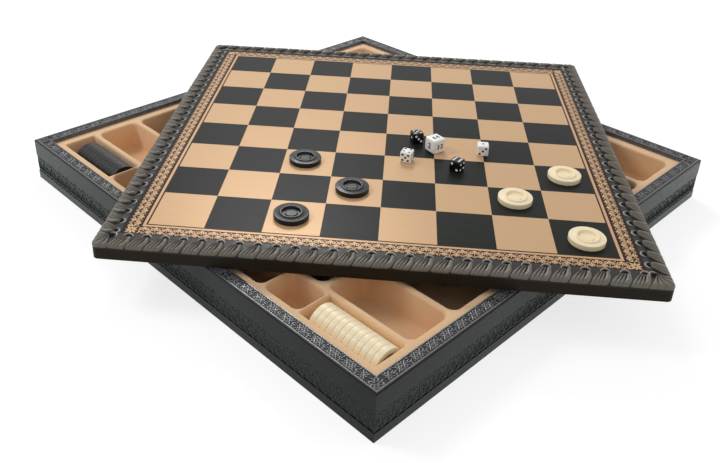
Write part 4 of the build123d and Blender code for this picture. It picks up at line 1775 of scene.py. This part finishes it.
def floor_finish():
    """A pale floor that keeps the object's shadow, looks white and is clear from below."""
    material, tree, surface, place = new_finish("pale_floor", Roughness=0.9, Specular_IOR_Level=0.0,
                                                Emission_Color=WHITE)
    pale = tree.mix(tree.noise(place, 3.0), (0.79, 0.79, 0.79, 1), (0.81, 0.81, 0.81, 1))
    seen = seen_directly(tree)
    tree.put(surface["Base Color"], tree.mix(seen, pale, (0.4, 0.4, 0.4, 1)))
    tree.put(surface["Emission Strength"], tree.times(seen, 0.75))
    nodes = material.node_tree.nodes
    behind = tree.add("ShaderNodeNewGeometry").outputs["Backfacing"]
    clear = tree.add("ShaderNodeBsdfTransparent")
    shown = tree.add("ShaderNodeMixShader", {0: behind, 1: nodes["Principled BSDF"], 2: clear})
    tree.put(nodes["Material Output"].inputs["Surface"], shown)
    return material


FLOOR = -0.0001  # a hair below the case, so that its underside and the floor don't share a plane
FLOOR_HALF = 30


class BOARD_OT_stage(bpy.types.Operator):
    """Camera, lamps and the pale floor"""
    bl_idname = "board.stage"
    bl_label = "Stage"

    def execute(self, context):
        settings = context.scene.stage_settings
        scene = context.scene
        scene.camera = add_camera(settings.focal)
        scene.view_settings.view_transform = "Standard"
        for name in LAMPS:
            area_lamp(name, getattr(settings, name))
        scene.world = studio_world(settings.sky)
        floor = add_object("floor", bpy.data.meshes.new("floor"))
        corners = [(x * FLOOR_HALF, y * FLOOR_HALF, FLOOR) for x, y in ((-1, -1), (1, -1), (1, 1), (-1, 1))]
        floor.data.from_pydata(corners, [], [(0, 1, 2, 3)])
        floor.data.materials.append(floor_finish())
        return {"FINISHED"}


# The add-on

GROUPS = {"board_sizes": BoardSizes, "case_sizes": CaseSizes, "tray_sizes": TraySizes,
          "piece_sizes": PieceSizes, "finish_colours": FinishColours, "stage_settings": StageSettings}
OPERATORS = [BOARD_OT_stage, BOARD_OT_case, BOARD_OT_tray, BOARD_OT_panels, BOARD_OT_edge, BOARD_OT_lacing,
             BOARD_OT_scrolls, BOARD_OT_checkers, BOARD_OT_dice, BOARD_OT_doubling_cube]


class BOARD_PT_sidebar(bpy.types.Panel):
    """Sidebar list of the pieces"""
    bl_idname = "BOARD_PT_sidebar"
    bl_label = "Chess and backgammon board"
    bl_space_type = "VIEW_3D"
    bl_region_type = "UI"
    bl_category = "Board"

    def draw(self, context):
        for operator in OPERATORS:
            self.layout.operator(operator.bl_idname)
        for name, group in GROUPS.items():
            box = self.layout.box()
            for field in group.__annotations__:
                box.prop(getattr(context.scene, name), field)


def register():
    for group in GROUPS.values():
        bpy.utils.register_class(group)
    for operator in OPERATORS:
        bpy.utils.register_class(operator)
    bpy.utils.register_class(BOARD_PT_sidebar)
    for name, group in GROUPS.items():
        setattr(bpy.types.Scene, name, PointerProperty(type=group))


def unregister():
    for name in GROUPS:
        delattr(bpy.types.Scene, name)
    bpy.utils.unregister_class(BOARD_PT_sidebar)
    for kind in reversed(list(GROUPS.values()) + OPERATORS):
        bpy.utils.unregister_class(kind)


def main():
    register()
    for made in (bpy.ops.board.stage, bpy.ops.board.case, bpy.ops.board.tray, bpy.ops.board.panels,
                 bpy.ops.board.edge, bpy.ops.board.lacing, bpy.ops.board.scrolls, bpy.ops.board.checkers,
                 bpy.ops.board.dice, bpy.ops.board.doubling_cube):
        made()


if __name__ == "__main__":
    main()
